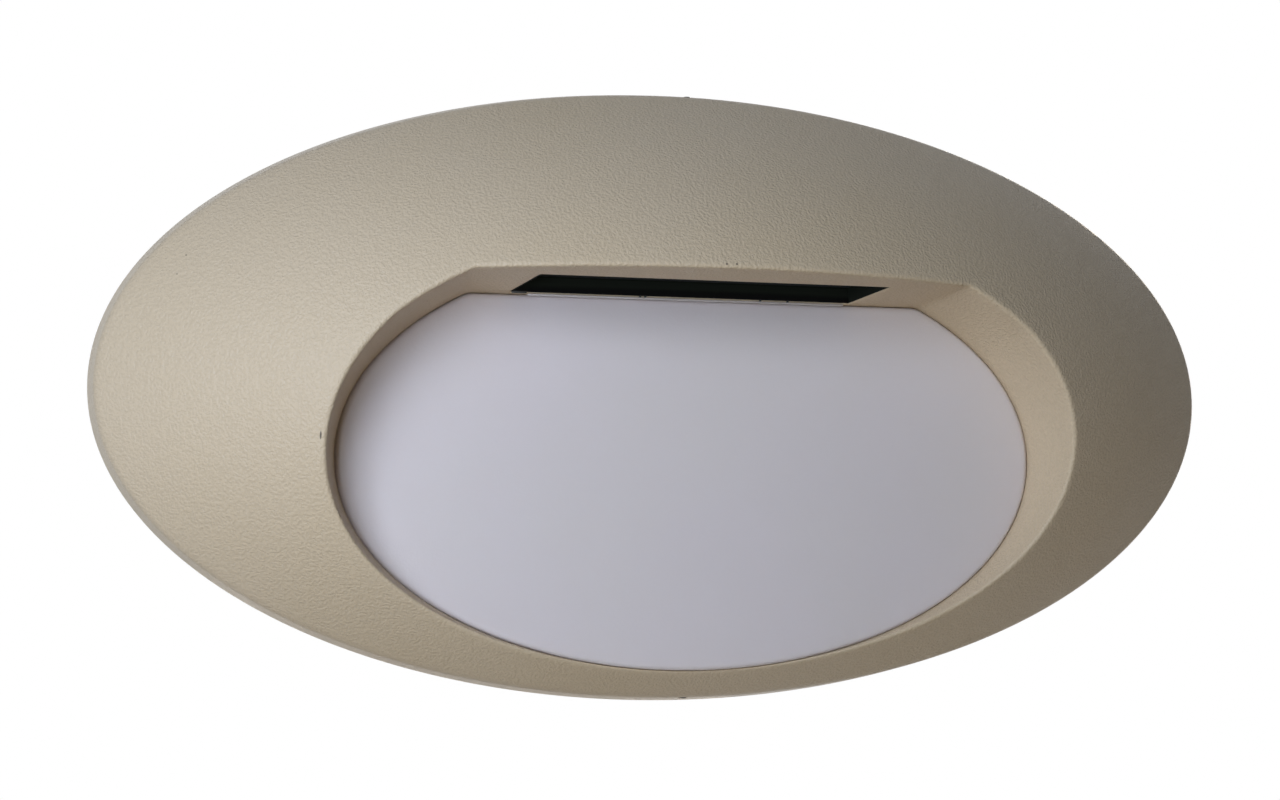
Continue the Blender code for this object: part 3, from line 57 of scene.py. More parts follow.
Plan = tuple[float, float]
Colour = tuple[float, float, float]
Corner = tuple[float, float, float]
Ring = list[Vector]
Piece = bpy.types.Object
Shape = bmesh.types.BMesh
Vertex = bmesh.types.BMVert
Socket = bpy.types.NodeSocket
Sockets = dict[str, Socket]
Feed = Socket | float | tuple[float, ...]

GAP = 0.0003
MERGE_DISTANCE = 0.00001
SHARP_DEGREES = 32.0
BEVEL_DEGREES = 40.0
OVERRUN = 0.0010
# Each grub screw of the cover, with the side that it stands on.
GRUBS = (("cover_grub_1", 1), ("cover_grub_2", -1))


class Body(str, Enum):
    """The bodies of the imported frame."""

    BASE = "base"
    COVER = "cover"
    LEVER_EARTH = "lever_earth"
    LEVER_NEUTRAL = "lever_neutral"
    LEVER_LIVE = "lever_live"


class Join(str, Enum):
    """How one shape is set into another."""

    ADD = "UNION"
    CUT = "DIFFERENCE"


# Shader nodes


class Wiring:
    """Adds nodes to one node tree and joins them."""

    def __init__(self, tree: bpy.types.NodeTree) -> None:
        """Start on a tree.

        Args:
            tree: The material's or the group's node tree.
        """
        self.tree = tree

    def add(self, kind: str, sockets: dict | None = None, **settings: object) -> bpy.types.Node:
        """Add one node.

        Args:
            kind: The node's type name.
            sockets: Values or output sockets by input name or number.
            settings: Plain properties of the node.

        Returns:
            The new node.
        """
        node = self.tree.nodes.new(kind)
        for name, value in settings.items():
            setattr(node, name, value)
        for name, value in (sockets or {}).items():
            self.feed(node.inputs[name], value)
        return node

    def feed(self, target: Socket, value: Feed) -> None:
        """Join an output to an input, or set the input's value.

        Args:
            target: The input.
            value: Output or value.
        """
        if isinstance(value, Socket):
            self.tree.links.new(value, target)
        else:
            target.default_value = value

    def mix(self, share: Feed, first: Feed, second: Feed) -> Socket:
        """Mix two colours by the share of the second one."""
        return self.add("ShaderNodeMix", {0: share, 6: first, 7: second}, data_type="RGBA").outputs[2]

    def ramp(self, value: Feed, low: float, high: float, start: float = 0.0, end: float = 1.0) -> Socket:
        """Map a value smoothly from one span to another and hold it there."""
        sockets = {"Value": value, "From Min": low, "From Max": high, "To Min": start, "To Max": end}
        return self.add("ShaderNodeMapRange", sockets, interpolation_type="SMOOTHSTEP").outputs[0]

    def maths(self, operation: str, first: Feed, second: Feed = 0.0) -> Socket:
        """One step of arithmetic on two values."""
        return self.add("ShaderNodeMath", {0: first, 1: second}, operation=operation).outputs[0]

    def vector(self, operation: str, first: Feed, second: Feed = (0.0, 0.0, 0.0)) -> bpy.types.Node:
        """One step of arithmetic on two vectors."""
        return self.add("ShaderNodeVectorMath", {0: first, 1: second}, operation=operation)

    def noise(self, vector: Socket, size: float, detail: float = 2.0) -> Socket:
        """A noise whose features are about a size."""
        return self.add("ShaderNodeTexNoise", {"Vector": vector, "Scale": 1 / size, "Detail": detail}).outputs[0]

    def counted(self, given: Sockets) -> Socket:
        """A group's vector, counted in the group's own size.

        Args:
            given: The group's inputs by name.

        Returns:
            The vector.
        """
        scaled = self.vector("SCALE", given["Vector"])
        self.feed(scaled.inputs["Scale"], self.maths("DIVIDE", 1.0, given["Size"]))
        return scaled.outputs[0]


@dataclass
class Effect:
    """A shader node group with named inputs and outputs."""

    name: str
    inputs: dict[str, float | Colour | None]
    outputs: dict[str, str]
    draw: Callable[[Wiring, Sockets], Sockets]
    tree: bpy.types.NodeTree | None = None

    def build(self) -> bpy.types.NodeTree:
        """Make the group the first time it is asked for.

        Returns:
            The group's node tree.
        """
        if self.tree is None:
            self.tree = bpy.data.node_groups.new(self.name, "ShaderNodeTree")
            for name, value in self.inputs.items():
                kind = ("NodeSocketVector" if value is None else
                        "NodeSocketColor" if isinstance(value, tuple) else "NodeSocketFloat")
                socket = self.tree.interface.new_socket(name, in_out="INPUT", socket_type=kind)
                if value is not None:
                    socket.default_value = (*value, 1) if isinstance(value, tuple) else value
            for name, kind in self.outputs.items():
                self.tree.interface.new_socket(name, in_out="OUTPUT", socket_type=kind)
            wiring = Wiring(self.tree)
            entry = wiring.add("NodeGroupInput")
            results = self.draw(wiring, {name: entry.outputs[name] for name in self.inputs})
            wiring.add("NodeGroupOutput", results)
        return self.tree

    def place(self, wiring: Wiring, sockets: dict) -> bpy.types.Node:
        """Place the group in a material.

        Args:
            wiring: The material's wiring.
            sockets: Values or sockets by input name.

        Returns:
            The group node.
        """
        node = wiring.add("ShaderNodeGroup", node_tree=self.build())
        for name, value in sockets.items():
            is_colour = isinstance(value, tuple) and isinstance(self.inputs[name], tuple)
            wiring.feed(node.inputs[name], (*value, 1) if is_colour else value)
        return node


def draw_grain(wiring: Wiring, given: Sockets) -> Sockets:
    """Fine grain of a cast, moulded or sprayed skin.

    Args:
        wiring: The group's wiring.
        given: Its inputs by name.

    Returns:
        Its outputs by name.
    """
    place = wiring.counted(given)
    coarse, fine = wiring.noise(place, 1.0, 1.5), wiring.noise(place, 1 / 2.7)
    height = wiring.ramp(coarse, 0.32, 0.68)
    height = wiring.maths("ADD", height, wiring.maths("MULTIPLY", fine, given["Fine share"]))
    return {"Height": height, "Fleck": wiring.ramp(fine, 0.58, 0.72)}


def tinted(wiring: Wiring, given: Sockets, mask: Socket, other: str) -> Sockets:
    """Outputs of a group that shows another colour where a mask and the group's amount let it.

    Args:
        wiring: The group's wiring.
        given: Its inputs by name.
        mask: Where the other colour shows.
        other: Name of the other colour's input.

    Returns:
        Its outputs by name.
    """
    share = wiring.maths("MULTIPLY", mask, given["Amount"])
    return {"Colour": wiring.mix(share, given["Colour"], given[other]), "Mask": share}


def draw_cloud(wiring: Wiring, given: Sockets) -> Sockets:
    """Slow change of one colour towards another over the surface."""
    noise = wiring.noise(wiring.counted(given), 1.0, 3.0)
    return tinted(wiring, given, wiring.ramp(noise, 0.3, 0.7), "Other")


def draw_dust(wiring: Wiring, given: Sockets) -> Sockets:
    """Thin dust on faces that look up, in patches.

    Args:
        wiring: The group's wiring.
        given: Its inputs by name.

    Returns:
        Its outputs by name.
    """
    place = wiring.add("ShaderNodeTexCoord")
    apart = wiring.add("ShaderNodeSeparateXYZ", {0: place.outputs["Normal"]})
    upward = wiring.ramp(apart.outputs["Z"], 0.2, 1.0)
    patch = wiring.ramp(wiring.noise(given["Vector"], 0.012, 4.0), 0.35, 0.75)
    return tinted(wiring, given, wiring.maths("MULTIPLY", upward, patch), "Dust")


def draw_mark(wiring: Wiring, given: Sockets) -> Sockets:
    """A small stain or chip round one place, or a band of painted shade.

    Args:
        wiring: The group's wiring.
        given: Its inputs by name.

    Returns:
        Its outputs by name.
    """
    away = wiring.vector("SUBTRACT", given["Vector"], given["Centre"])
    squashed = wiring.vector("DIVIDE", away.outputs[0], given["Spread"])
    reach = wiring.vector("LENGTH", squashed.outputs[0]).outputs["Value"]
    return tinted(wiring, given, wiring.ramp(reach, 1.0, 0.55), "Mark")


TINTED = {"Colour": "NodeSocketColor", "Mask": "NodeSocketFloat"}
GRAIN = Effect("surface_grain", {"Vector": None, "Size": 0.001, "Fine share": 0.4},
               {"Height": "NodeSocketFloat", "Fleck": "NodeSocketFloat"}, draw_grain)
CLOUD = Effect("colour_drift", {"Vector": None, "Size": 0.05, "Amount": 1.0, "Colour": (0.5, 0.5, 0.5),
                                "Other": (0.4, 0.4, 0.4)}, TINTED, draw_cloud)
DUST = Effect("settled_dust", {"Vector": None, "Amount": 0.3, "Colour": (0.5, 0.5, 0.5),
                               "Dust": (0.5, 0.47, 0.42)}, TINTED, draw_dust)
MARK = Effect("small_mark", {"Vector": None, "Centre": None, "Spread": None, "Amount": 1.0,
                             "Colour": (0.5, 0.5, 0.5), "Mark": (0.1, 0.1, 0.1)}, TINTED, draw_mark)


# Finishes


@dataclass(frozen=True)
class MarkOrShade:
    """One small mark on the paint, or a band of painted shade: its middle, its half lengths and how dark it is."""

    centre: Colour
    spread: Colour
    amount: float = 0.8


@dataclass(frozen=True)
class Finish:
    """A surface: colour, drift of colour, grain, gloss and dust."""

    name: str
    colour: Colour
    drift: Colour
    drift_size: float = 0.04
    drift_amount: float = 0.6
    roughness: float = 0.5
    roughness_change: float = 0.08
    metallic: float = 0.0
    grain: float = 0.0012
    grain_depth: float = 0.00001
    fine_share: float = 0.4
    # How dark the grain's pits are painted, as painted shade.
    painted_pit_shade: float = 0.0
    pit_span: Plan = (0.35, 1.15)
    fleck: Colour | None = None
    fleck_amount: float = 0.3
    dust_amount: float = 0.15
    specular: float = 0.5
    stripe: Colour | None = None
    stripe_span: Plan = (0.25, 0.35)
    subsurface: float = 0.0
    spread: float = 0.003
    marks: tuple[MarkOrShade, ...] = ()
    mark_colour: Colour = (0.03, 0.028, 0.025)

    def material(self) -> bpy.types.Material:
        """Build the material once.

        Returns:
            The material.
        """
        known = bpy.data.materials.get(self.name)
        if known:
            return known
        made = bpy.data.materials.new(self.name)
        made.use_nodes = True
        wiring = Wiring(made.node_tree)
        shader = made.node_tree.nodes["Principled BSDF"]
        place = wiring.add("ShaderNodeTexCoord").outputs["Object"]
        drift = CLOUD.place(wiring, {"Vector": place, "Size": self.drift_size, "Amount": self.drift_amount,
                                     "Colour": self.colour, "Other": self.drift})
        grain = GRAIN.place(wiring, {"Vector": place, "Size": self.grain, "Fine share": self.fine_share})
        change = self.roughness + self.roughness_change
        bump = wiring.add("ShaderNodeBump", {"Height": grain.outputs["Height"], "Distance": self.grain_depth,
                                             "Strength": 1.0})
        values = {"Base Color": self.tint(wiring, place, drift.outputs["Colour"], grain),
                  "Roughness": wiring.ramp(drift.outputs["Mask"], 0.0, 1.0, self.roughness, change),
                  "Normal": bump.outputs[0], "Metallic": self.metallic, "Specular IOR Level": self.specular}
        if self.subsurface:
            values |= {"Subsurface Weight": self.subsurface, "Subsurface Radius": (1.0, 1.0, 1.0),
                       "Subsurface Scale": self.spread}
        for name, value in values.items():
            wiring.feed(shader.inputs[name], value)
        return made

    def tint(self, wiring: Wiring, place: Socket, colour: Socket, grain: bpy.types.Node) -> Socket:
        """Lay painted shade in the grain's pits, then flecks, dust, marks and a stripe over the colour.

        Args:
            wiring: The material's wiring.
            place: Object coordinates.
            colour: The plain colour.
            grain: The grain's group node.

        Returns:
            The finished colour's socket.
        """
        # Painted shade: the colour darkens in the grain's pits, where shade falls.
        if self.painted_pit_shade:
            pits = wiring.ramp(grain.outputs["Height"], *self.pit_span, self.painted_pit_shade, 0.0)
            colour = wiring.mix(pits, colour, (0, 0, 0, 1))
        if self.fleck:
            share = wiring.maths("MULTIPLY", grain.outputs["Fleck"], self.fleck_amount)
            colour = wiring.mix(share, colour, (*self.fleck, 1))
        if self.dust_amount:
            dust = DUST.place(wiring, {"Vector": place, "Amount": self.dust_amount, "Colour": colour})
            colour = dust.outputs["Colour"]
        # Each mark darkens the colour round one place; on the slot lining the mark is painted shade.
        for mark_or_shade in self.marks:
            mark = MARK.place(wiring, {"Vector": place, "Amount": mark_or_shade.amount, "Colour": colour,
                                       "Mark": self.mark_colour, "Centre": mark_or_shade.centre,
                                       "Spread": mark_or_shade.spread})
            colour = mark.outputs["Colour"]
        if self.stripe:
            around = wiring.add("ShaderNodeAttribute", attribute_name="around").outputs["Fac"]
            colour = wiring.mix(wiring.ramp(around, *self.stripe_span), colour, (*self.stripe, 1))
        return colour


PIT = (0.0003, 0.0008, 0.0003)
# The powder coat's colour darkens in the grain's pits: painted shade.
POWDER_COAT = Finish("champagne_powder_coat", (0.60, 0.48, 0.325), (0.58, 0.455, 0.29), drift_size=0.09,
                     drift_amount=0.7, roughness=0.30, grain=0.0007, grain_depth=0.00009, fine_share=0.7,
                     painted_pit_shade=0.05, fleck=(0.64, 0.58, 0.48), fleck_amount=0.35, dust_amount=0.06,
                     specular=0.18,
                     marks=(MarkOrShade((-0.00391, -0.0518, 0.02822), (0.00035, 0.0008, 0.0003)),
                            MarkOrShade((-0.00149, -0.0518, 0.02831), PIT),
                            MarkOrShade((-0.0941, -0.0356, -0.0120), (0.00025, 0.0010, 0.0012)),
                            MarkOrShade((-0.1233, -0.0133, 0.0299), PIT, 0.45),
                            MarkOrShade((-0.1253, -0.0143, 0.0253), (0.0003, 0.0008, 0.0002), 0.45)))
OPAL = Finish("satin_opal", (0.755, 0.665, 0.645), (0.74, 0.66, 0.615), drift_size=0.06, drift_amount=0.8,
              roughness=0.36, grain=0.0006, grain_depth=0.000008, dust_amount=0.0, subsurface=0.9,
              spread=0.006)
BLACK_MOULDING = Finish("matt_black_moulding", (0.012, 0.0135, 0.011), (0.018, 0.019, 0.015),
                        roughness=0.55, grain=0.0005, grain_depth=0.00002, dust_amount=0.1)
# Painted shade: the lining's mark darkens a band along the lower third of the slot to near black, as shade in the
# slot.
SLOT_LINING_WITH_SHADE = Finish("slot_lining_painted_shade", (0.008, 0.010, 0.007), (0.010, 0.012, 0.008), drift_size=0.02,
                     roughness=0.7, grain=0.0005, dust_amount=0.0, specular=0.06,
                     marks=(MarkOrShade((0, -0.0195, 0.0236), (0.09, 0.002, 0.0022), 1.0),),
                     mark_colour=(0.001, 0.001, 0.001))
CAST = Finish("bare_cast_alloy", (0.37, 0.38, 0.39), (0.32, 0.33, 0.345), drift_size=0.03,
              roughness_change=0.05, metallic=0.85, grain=0.0005, grain_depth=0.000016,
              fleck=(0.62, 0.63, 0.64))
RUBBER = Finish("black_rubber", (0.022, 0.022, 0.022), (0.04, 0.04, 0.038), roughness=0.72, grain=0.0005,
                grain_depth=0.00002)
SILICONE = Finish("grey_silicone", (0.50, 0.51, 0.52), (0.42, 0.43, 0.44), grain=0.0006, subsurface=0.2)
ZINC = Finish("zinc_plated_steel", (0.62, 0.63, 0.65), (0.50, 0.52, 0.56), drift_size=0.008, roughness=0.3,
              roughness_change=0.16, metallic=1.0, grain=0.0004, dust_amount=0.05)
BRASS = Finish("turned_brass", (0.72, 0.53, 0.24), (0.58, 0.40, 0.17), drift_size=0.006, roughness=0.28,
               roughness_change=0.15, metallic=1.0, grain=0.0004)
TERMINAL_GREY = Finish("terminal_grey", (0.38, 0.39, 0.40), (0.33, 0.34, 0.35), roughness=0.45,
                       grain=0.0004, grain_depth=0.000015)
LEVER_ORANGE = Finish("lever_orange", (0.80, 0.26, 0.035), (0.70, 0.21, 0.03), roughness=0.38, grain=0.0004)
DRIVER_WHITE = Finish("driver_white", (0.74, 0.74, 0.71), (0.68, 0.68, 0.65), roughness=0.48, grain=0.0006,
                      grain_depth=0.00003)
WHITE_SHEET = Finish("white_reflector_paint", (0.82, 0.82, 0.80), (0.77, 0.77, 0.745), roughness=0.34,
                     grain=0.0008)
BOARD_WHITE = Finish("white_solder_mask", (0.80, 0.81, 0.79), (0.74, 0.75, 0.73), roughness=0.3,
                     grain=0.0007, grain_depth=0.000006)
STAMPED = Finish("stamped_zinc_sheet", (0.60, 0.62, 0.63), (0.50, 0.52, 0.54), drift_size=0.03,
                 roughness=0.36, roughness_change=0.14, metallic=0.9, grain=0.0025, dust_amount=0.05)
BLACK_OXIDE = Finish("black_oxide_steel", (0.05, 0.048, 0.045), (0.07, 0.068, 0.062), drift_size=0.004,
                     metallic=0.6, grain=0.0003, dust_amount=0.0)
PHOSPHOR = Finish("yellow_phosphor", (0.86, 0.66, 0.13), (0.80, 0.58, 0.09), drift_size=0.002,
                  grain=0.0002, dust_amount=0.0)
CHIP_WHITE = Finish("chip_housing", (0.78, 0.77, 0.72), (0.72, 0.71, 0.66), drift_size=0.004,
                    roughness=0.42, grain=0.0002, grain_depth=0.000005, dust_amount=0.0)
TINNED = Finish("tinned_pad", (0.70, 0.70, 0.68), (0.58, 0.58, 0.57), drift_size=0.002, roughness=0.3,
                metallic=1.0, grain=0.0002, dust_amount=0.0)
WIRE_BROWN = Finish("wire_brown", (0.15, 0.06, 0.025), (0.12, 0.05, 0.02), roughness=0.4)
WIRE_BLUE = Finish("wire_blue", (0.035, 0.13, 0.45), (0.03, 0.10, 0.38), roughness=0.4)
WIRE_GREEN = Finish("wire_green_yellow", (0.09, 0.40, 0.07), (0.08, 0.34, 0.06), roughness=0.4,
                    stripe=(0.80, 0.68, 0.05))
WIRE_RED = Finish("wire_red", (0.48, 0.025, 0.025), (0.42, 0.02, 0.02), roughness=0.4)
WIRE_BLACK = Finish("wire_black", (0.022, 0.022, 0.022), (0.03, 0.03, 0.03), roughness=0.4)

SLOT_FINISHES = {"shell_paint": POWDER_COAT, "opal": OPAL, "silicone": SILICONE, "zinc": ZINC,
                 "black_plastic": BLACK_MOULDING, "cast_metal": CAST, "rubber": RUBBER,
                 "terminal_grey": TERMINAL_GREY, "lever_orange": LEVER_ORANGE, "brass": BRASS,
                 "driver_white": DRIVER_WHITE, "white_sheet": WHITE_SHEET, "board_white": BOARD_WHITE,
                 "lead_brown": WIRE_BROWN, "lead_blue": WIRE_BLUE, "lead_green": WIRE_GREEN,
                 "lead_red": WIRE_RED, "lead_black": WIRE_BLACK}


# Shape of the lamp


@dataclass(frozen=True)
class Station:
    """A point on the recess's outline at its corner radius's centre line, with its outward direction."""

    x: float
    z: float
    out_x: float
    out_z: float


def spot(x: float, z: float, depth: float) -> Vector:
    """World position of a point at a depth from the wall."""
    return Vector((x, -depth, z))


@dataclass(frozen=True)
class Extent:
    """What a node of the frame spans, with its depths counted from the wall."""

    left: float
    right: float
    bottom: float
    top: float
    back: float
    front: float

    @property
    def plan(self) -> Plan:
        """Plan position of the middle."""
        return (self.left + self.right) / 2, (self.bottom + self.top) / 2

    @property
    def depth(self) -> float:
        """Depth of the middle."""
        return (self.back + self.front) / 2

    @property
    def thickness(self) -> float:
        """Distance from back to front."""
        return self.front - self.back


def extent(node: str) -> Extent:
    """What a node of the frame spans."""
    low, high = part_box(node)
    return Extent(low.x, high.x, low.z, high.z, -high.y, -low.y)


def numbered(stem: str, count: int) -> list[str]:
    """Names of a run of nodes."""
    return [f"{stem}_{number}" for number in range(1, count + 1)]


@dataclass
class LampForm:
    """The oval dome and the D-shaped recess in it."""

    half_width: float = 0.145
    half_height: float = 0.077
    band_depth: float = 0.0081
    band_taper: float = 0.0016
    dome_rise: float = 0.0512
    dome_power: float = 1.96
    wall: float = 0.0022
    standoff: float = 0.0005
    rim_radius: float = 0.0012
    recess_side_margin: float = 0.0559
    recess_lower_margin: float = 0.0090
    recess_round_share: float = 0.567
    corner_radius: float = 0.0050
    side_draft: float = 0.22
    top_draft: float = 0.127
    draft_ease: float = 0.75
    edge_radius: float = 0.0013
    recess_wall: float = 0.0030
    diffuser_depth: float = 0.0186
    baffle_height: float = 0.0136
    arc_steps: int = 264
    flat_steps: int = 60
    corner_steps: int = 7
    solve_steps: int = 14
    flat_rise: float = field(init=False)
    drop: float = field(init=False)
    recess_half_width: float = field(init=False)
    recess_half_height: float = field(init=False)
    stations: list[Station] = field(init=False)

    def __post_init__(self) -> None:
        """Work out what the driving sizes and the frame give."""
        self.flat_rise = extent("vent_baffle").top - self.baffle_height
        low = self.half_height - self.recess_lower_margin
        self.recess_half_width = self.half_width - self.recess_side_margin
        self.recess_half_height = (self.flat_rise + low) * self.recess_round_share
        self.drop = low - self.recess_half_height
        self.stations = self.recess_stations()

    @property
    def rim_half_width(self) -> float:
        """Half width of the dome's edge."""
        return self.half_width - self.band_taper

    @property
    def rim_half_height(self) -> float:
        """Half height of the dome's edge."""
        return self.half_height - self.band_taper

    def band_inset(self, depth: float) -> float:
        """How far the tapered side band has drawn in at a depth."""
        return self.band_taper * depth / self.band_depth

    def reach(self, x: float, z: float) -> float:
        """0 at the middle of the oval and 1 at the dome's edge."""
        return max(math.hypot(x / self.rim_half_width, z / self.rim_half_height), GAP / self.half_width)

    def outer_skin(self, x: float, z: float) -> float:
        """Depth of the shell's outer skin."""
        return self.band_depth + self.dome_rise * (1 - min(self.reach(x, z), 1) ** self.dome_power)

    def inner_skin(self, x: float, z: float) -> float:
        """Depth of the shell's inner skin, a wall behind the outer one.

        Args:
            x: Plan position across.
            z: Plan position upward.

        Returns:
            The depth.
        """
        rate = self.dome_rise * self.dome_power * self.reach(x, z) ** (self.dome_power - 2)
        slope = rate * math.hypot(x / self.rim_half_width ** 2, z / self.rim_half_height ** 2)
        return self.outer_skin(x, z) - self.wall * math.hypot(1, slope)

    def arc_station(self, angle: float, inset: float = 0.0) -> Station:
        """Station on the recess's ellipse.

        Args:
            angle: Its angle on the ellipse.
            inset: How far the D is drawn in.

        Returns:
            The station.
        """
        half_width = self.recess_half_width - self.corner_radius - inset
        half_height = self.recess_half_height - self.corner_radius - inset
        out = Vector((math.cos(angle) / half_width, math.sin(angle) / half_height)).normalized()
        return Station(half_width * math.cos(angle), half_height * math.sin(angle) - self.drop, out.x, out.y)

    def arc_angle(self, share: float, inset: float = 0.0) -> float:
        """Angle on the ellipse.

        Args:
            share: Share of the way from the flat top's right end to its left end.
            inset: How far the D is drawn in.

        Returns:
            The angle in radians.
        """
        flat_z = self.flat_rise - self.corner_radius - inset
        corner = math.asin((flat_z + self.drop) / (self.recess_half_height - self.corner_radius - inset))
        return corner - (math.pi + 2 * corner) * share

    def recess_stations(self, inset: float = 0.0) -> list[Station]:
        """The D once round, clockwise from its top left corner.

        Args:
            inset: How far the D is drawn in, with its corners still round.

        Returns:
            The stations in order.
        """
        corner = self.arc_station(self.arc_angle(0, inset), inset)
        flat_z = self.flat_rise - self.corner_radius - inset
        turn = math.atan2(corner.out_x, corner.out_z)
        leans = [turn * step / self.corner_steps for step in range(1, self.corner_steps)]
        made = [Station(corner.x * (2 * step / self.flat_steps - 1), flat_z, 0, 1)
                for step in range(self.flat_steps + 1)]
        made += [Station(corner.x, flat_z, math.sin(lean), math.cos(lean)) for lean in leans]
        made += [self.arc_station(self.arc_angle(step / self.arc_steps, inset), inset)
                 for step in range(self.arc_steps + 1)]
        return made + [Station(-corner.x, flat_z, -math.sin(lean), math.cos(lean)) for lean in reversed(leans)]

    def draft(self, out_z: float) -> float:
        """Slope of the recess wall, which eases from the sides' value to the top's."""
        share = max(out_z - self.draft_ease, 0) / (1 - self.draft_ease)
        return self.side_draft + (self.top_draft - self.side_draft) * share

    def recess_point(self, station: Station, outward: float = 0.0, height: float = 0.0) -> Plan:
        """Plan position on the recess wall at a height over the diffuser, or outward of it."""
        reach = self.corner_radius + self.draft(station.out_z) * max(height, 0) + outward
        return station.x + station.out_x * reach, station.z + station.out_z * reach

    def wall_height(self, station: Station, outward: float, skin: Callable[[float, float], float]) -> float:
        """Height over the diffuser where the recess wall meets a skin of the dome.

        Args:
            station: Where on the D.
            outward: How far behind the wall's face.
            skin: Depth of the skin at a plan position.

        Returns:
            The height.
        """
        height = 0.0
        for _ in range(self.solve_steps):
            height = skin(*self.recess_point(station, outward, height)) - self.diffuser_depth
        return height

    def rim_point(self, station: Station, inset: float) -> Plan:
        """Plan position on the oval.

        Args:
            station: The station that it is in line with.
            inset: How far the oval is drawn in.

        Returns:
            The position.
        """
        x, z = self.recess_point(station)
        angle = math.atan2((z + self.drop / 2) / self.half_height, x / self.half_width)
        return (self.half_width - inset) * math.cos(angle), (self.half_height - inset) * math.sin(angle)

    def hood_z(self, depth: float, behind: float = 0.0) -> float:
        """Height of the recess's flat top wall at a depth, or that far above it."""
        return self.flat_rise + self.top_draft * (depth - self.diffuser_depth) + behind

    def oval(self, inset: float, depth: float) -> Ring:
        """Ring on the lamp's oval."""
        return [spot(*self.rim_point(station, inset), depth) for station in self.stations]

    def d_ring(self, outward: float, depth: float) -> Ring:
        """Ring on the D-shaped opening, grown outward or drawn in."""
        stations, grown = (self.recess_stations(-outward), 0.0) if outward < 0 else (self.stations, outward)
        return [spot(*self.recess_point(station, grown), depth) for station in stations]


FORM = LampForm()


# Mesh tools


class Skin:
    """A skin grown ring by ring from a circle of vertices."""

    def __init__(self, places: Sequence[Vector], shape: Shape | None = None) -> None:
        """Start with one ring.

        Args:
            places: Where the first ring's vertices lie, in order.
            shape: The shape that the skin is added to, where it isn't a new one.
        """
        self.shape = shape or bmesh.new()
        made = bmesh.ops.create_circle(self.shape, cap_ends=False, segments=len(places), radius=1.0)["verts"]
        ring = made[:1]
        while len(ring) < len(made):
            ring.append(next(end for edge in ring[-1].link_edges
                             if (end := edge.other_vert(ring[-1])) not in ring[-2:]))
        self.rings = [ring]
        self.settle(places)

    @property
    def first(self) -> list[Vertex]:
        """The ring that the skin started with."""
        return self.rings[0]

    @property
    def last(self) -> list[Vertex]:
        """The ring that was grown last."""
        return self.rings[-1]

    def settle(self, places: Ring) -> None:
        """Put each vertex of the last ring on its place."""
        for vertex, place in zip(self.last, places):
            vertex.co = place

    def edges(self, ring: list[Vertex]) -> list[bmesh.types.BMEdge]:
        """Edges between the neighbours of a ring, in order."""
        return [next(edge for edge in start.link_edges if edge.other_vert(start) is end)
                for start, end in zip(ring, ring[1:] + ring[:1])]

    def grow(self, *rings: Ring) -> "Skin":
        """Extrude the last ring to each new ring in turn.

        Args:
            rings: Places of the new rings' vertices.

        Returns:
            The skin itself.
        """
        for places in rings:
            made = bmesh.ops.extrude_edge_only(self.shape, edges=self.edges(self.last))["geom"]
            fresh = {item for item in made if isinstance(item, Vertex)}
            self.rings.append([next(edge.other_vert(vertex) for edge in vertex.link_edges
                                    if edge.other_vert(vertex) in fresh) for vertex in self.last])
            self.settle(places)
        return self

    def close(self) -> "Skin":
        """Join the last ring to the first."""
        bmesh.ops.bridge_loops(self.shape, edges=self.edges(self.first) + self.edges(self.last))
        return self

    def cap(self, fan: bool = False) -> "Skin":
        """Fill both ends.

        Args:
            fan: Whether each end is a fan of triangles, not one flat face.

        Returns:
            The skin itself.
        """
        for ring in (self.first, self.last):
            made = bmesh.ops.contextual_create(self.shape, geom=self.edges(ring))["faces"]
            if fan:
                bmesh.ops.poke(self.shape, faces=made)
        return self


def rounded(start: Ring, corner: Ring, end: Ring, steps: int) -> list[Ring]:
    """Rings of a rounded edge.

    Args:
        start: Ring where the rounding starts.
        corner: Ring on the sharp corner that it replaces.
        end: Ring where it ends.
        steps: Number of strips.

    Returns:
        The rings, ends included.
    """
    shares = [step / steps for step in range(steps + 1)]
    return [[a * (1 - t) ** 2 + b * 2 * t * (1 - t) + c * t ** 2 for a, b, c in zip(start, corner, end)]
            for t in shares]


def smooth(mesh: bpy.types.Mesh) -> None:
    """Shade a mesh smooth with its hard corners kept."""
    mesh.shade_smooth()
    mesh.set_sharp_from_angle(angle=math.radians(SHARP_DEGREES))


def to_object(name: str, shape: Shape) -> Piece:
    """Turn a shape into a smooth-shaded object with its hard corners kept.

    Args:
        name: The piece's name.
        shape: The filled shape, which is freed.

    Returns:
        The new object.
    """
    bmesh.ops.remove_doubles(shape, verts=shape.verts, dist=MERGE_DISTANCE)
    bmesh.ops.recalc_face_normals(shape, faces=shape.faces)
    mesh = bpy.data.meshes.new(name)
    shape.to_mesh(mesh)
    shape.free()
    piece = bpy.data.objects.new(name, mesh)
    bpy.context.scene.collection.objects.link(piece)
    smooth(mesh)
    return piece


def lofted(name: str, rings: list[Ring], closed: bool = False) -> Piece:
    """One object of a skin through rings.

    Args:
        name: The piece's name.
        rings: The rings in order.
        closed: Whether the last ring joins the first, as round a frame; else both ends are filled.

    Returns:
        The new object.
    """
    skin = Skin(rings[0]).grow(*rings[1:])
    return to_object(name, (skin.close() if closed else skin.cap()).shape)


def bake(piece: Piece) -> Piece:
    """Apply a piece's modifiers to its mesh.

    Args:
        piece: The piece.

    Returns:
        The same piece.
    """
    bpy.context.view_layer.update()
    graph = bpy.context.evaluated_depsgraph_get()
    mesh = bpy.data.meshes.new_from_object(piece.evaluated_get(graph))
    piece.modifiers.clear()
    piece.data = mesh
    smooth(mesh)
    return piece


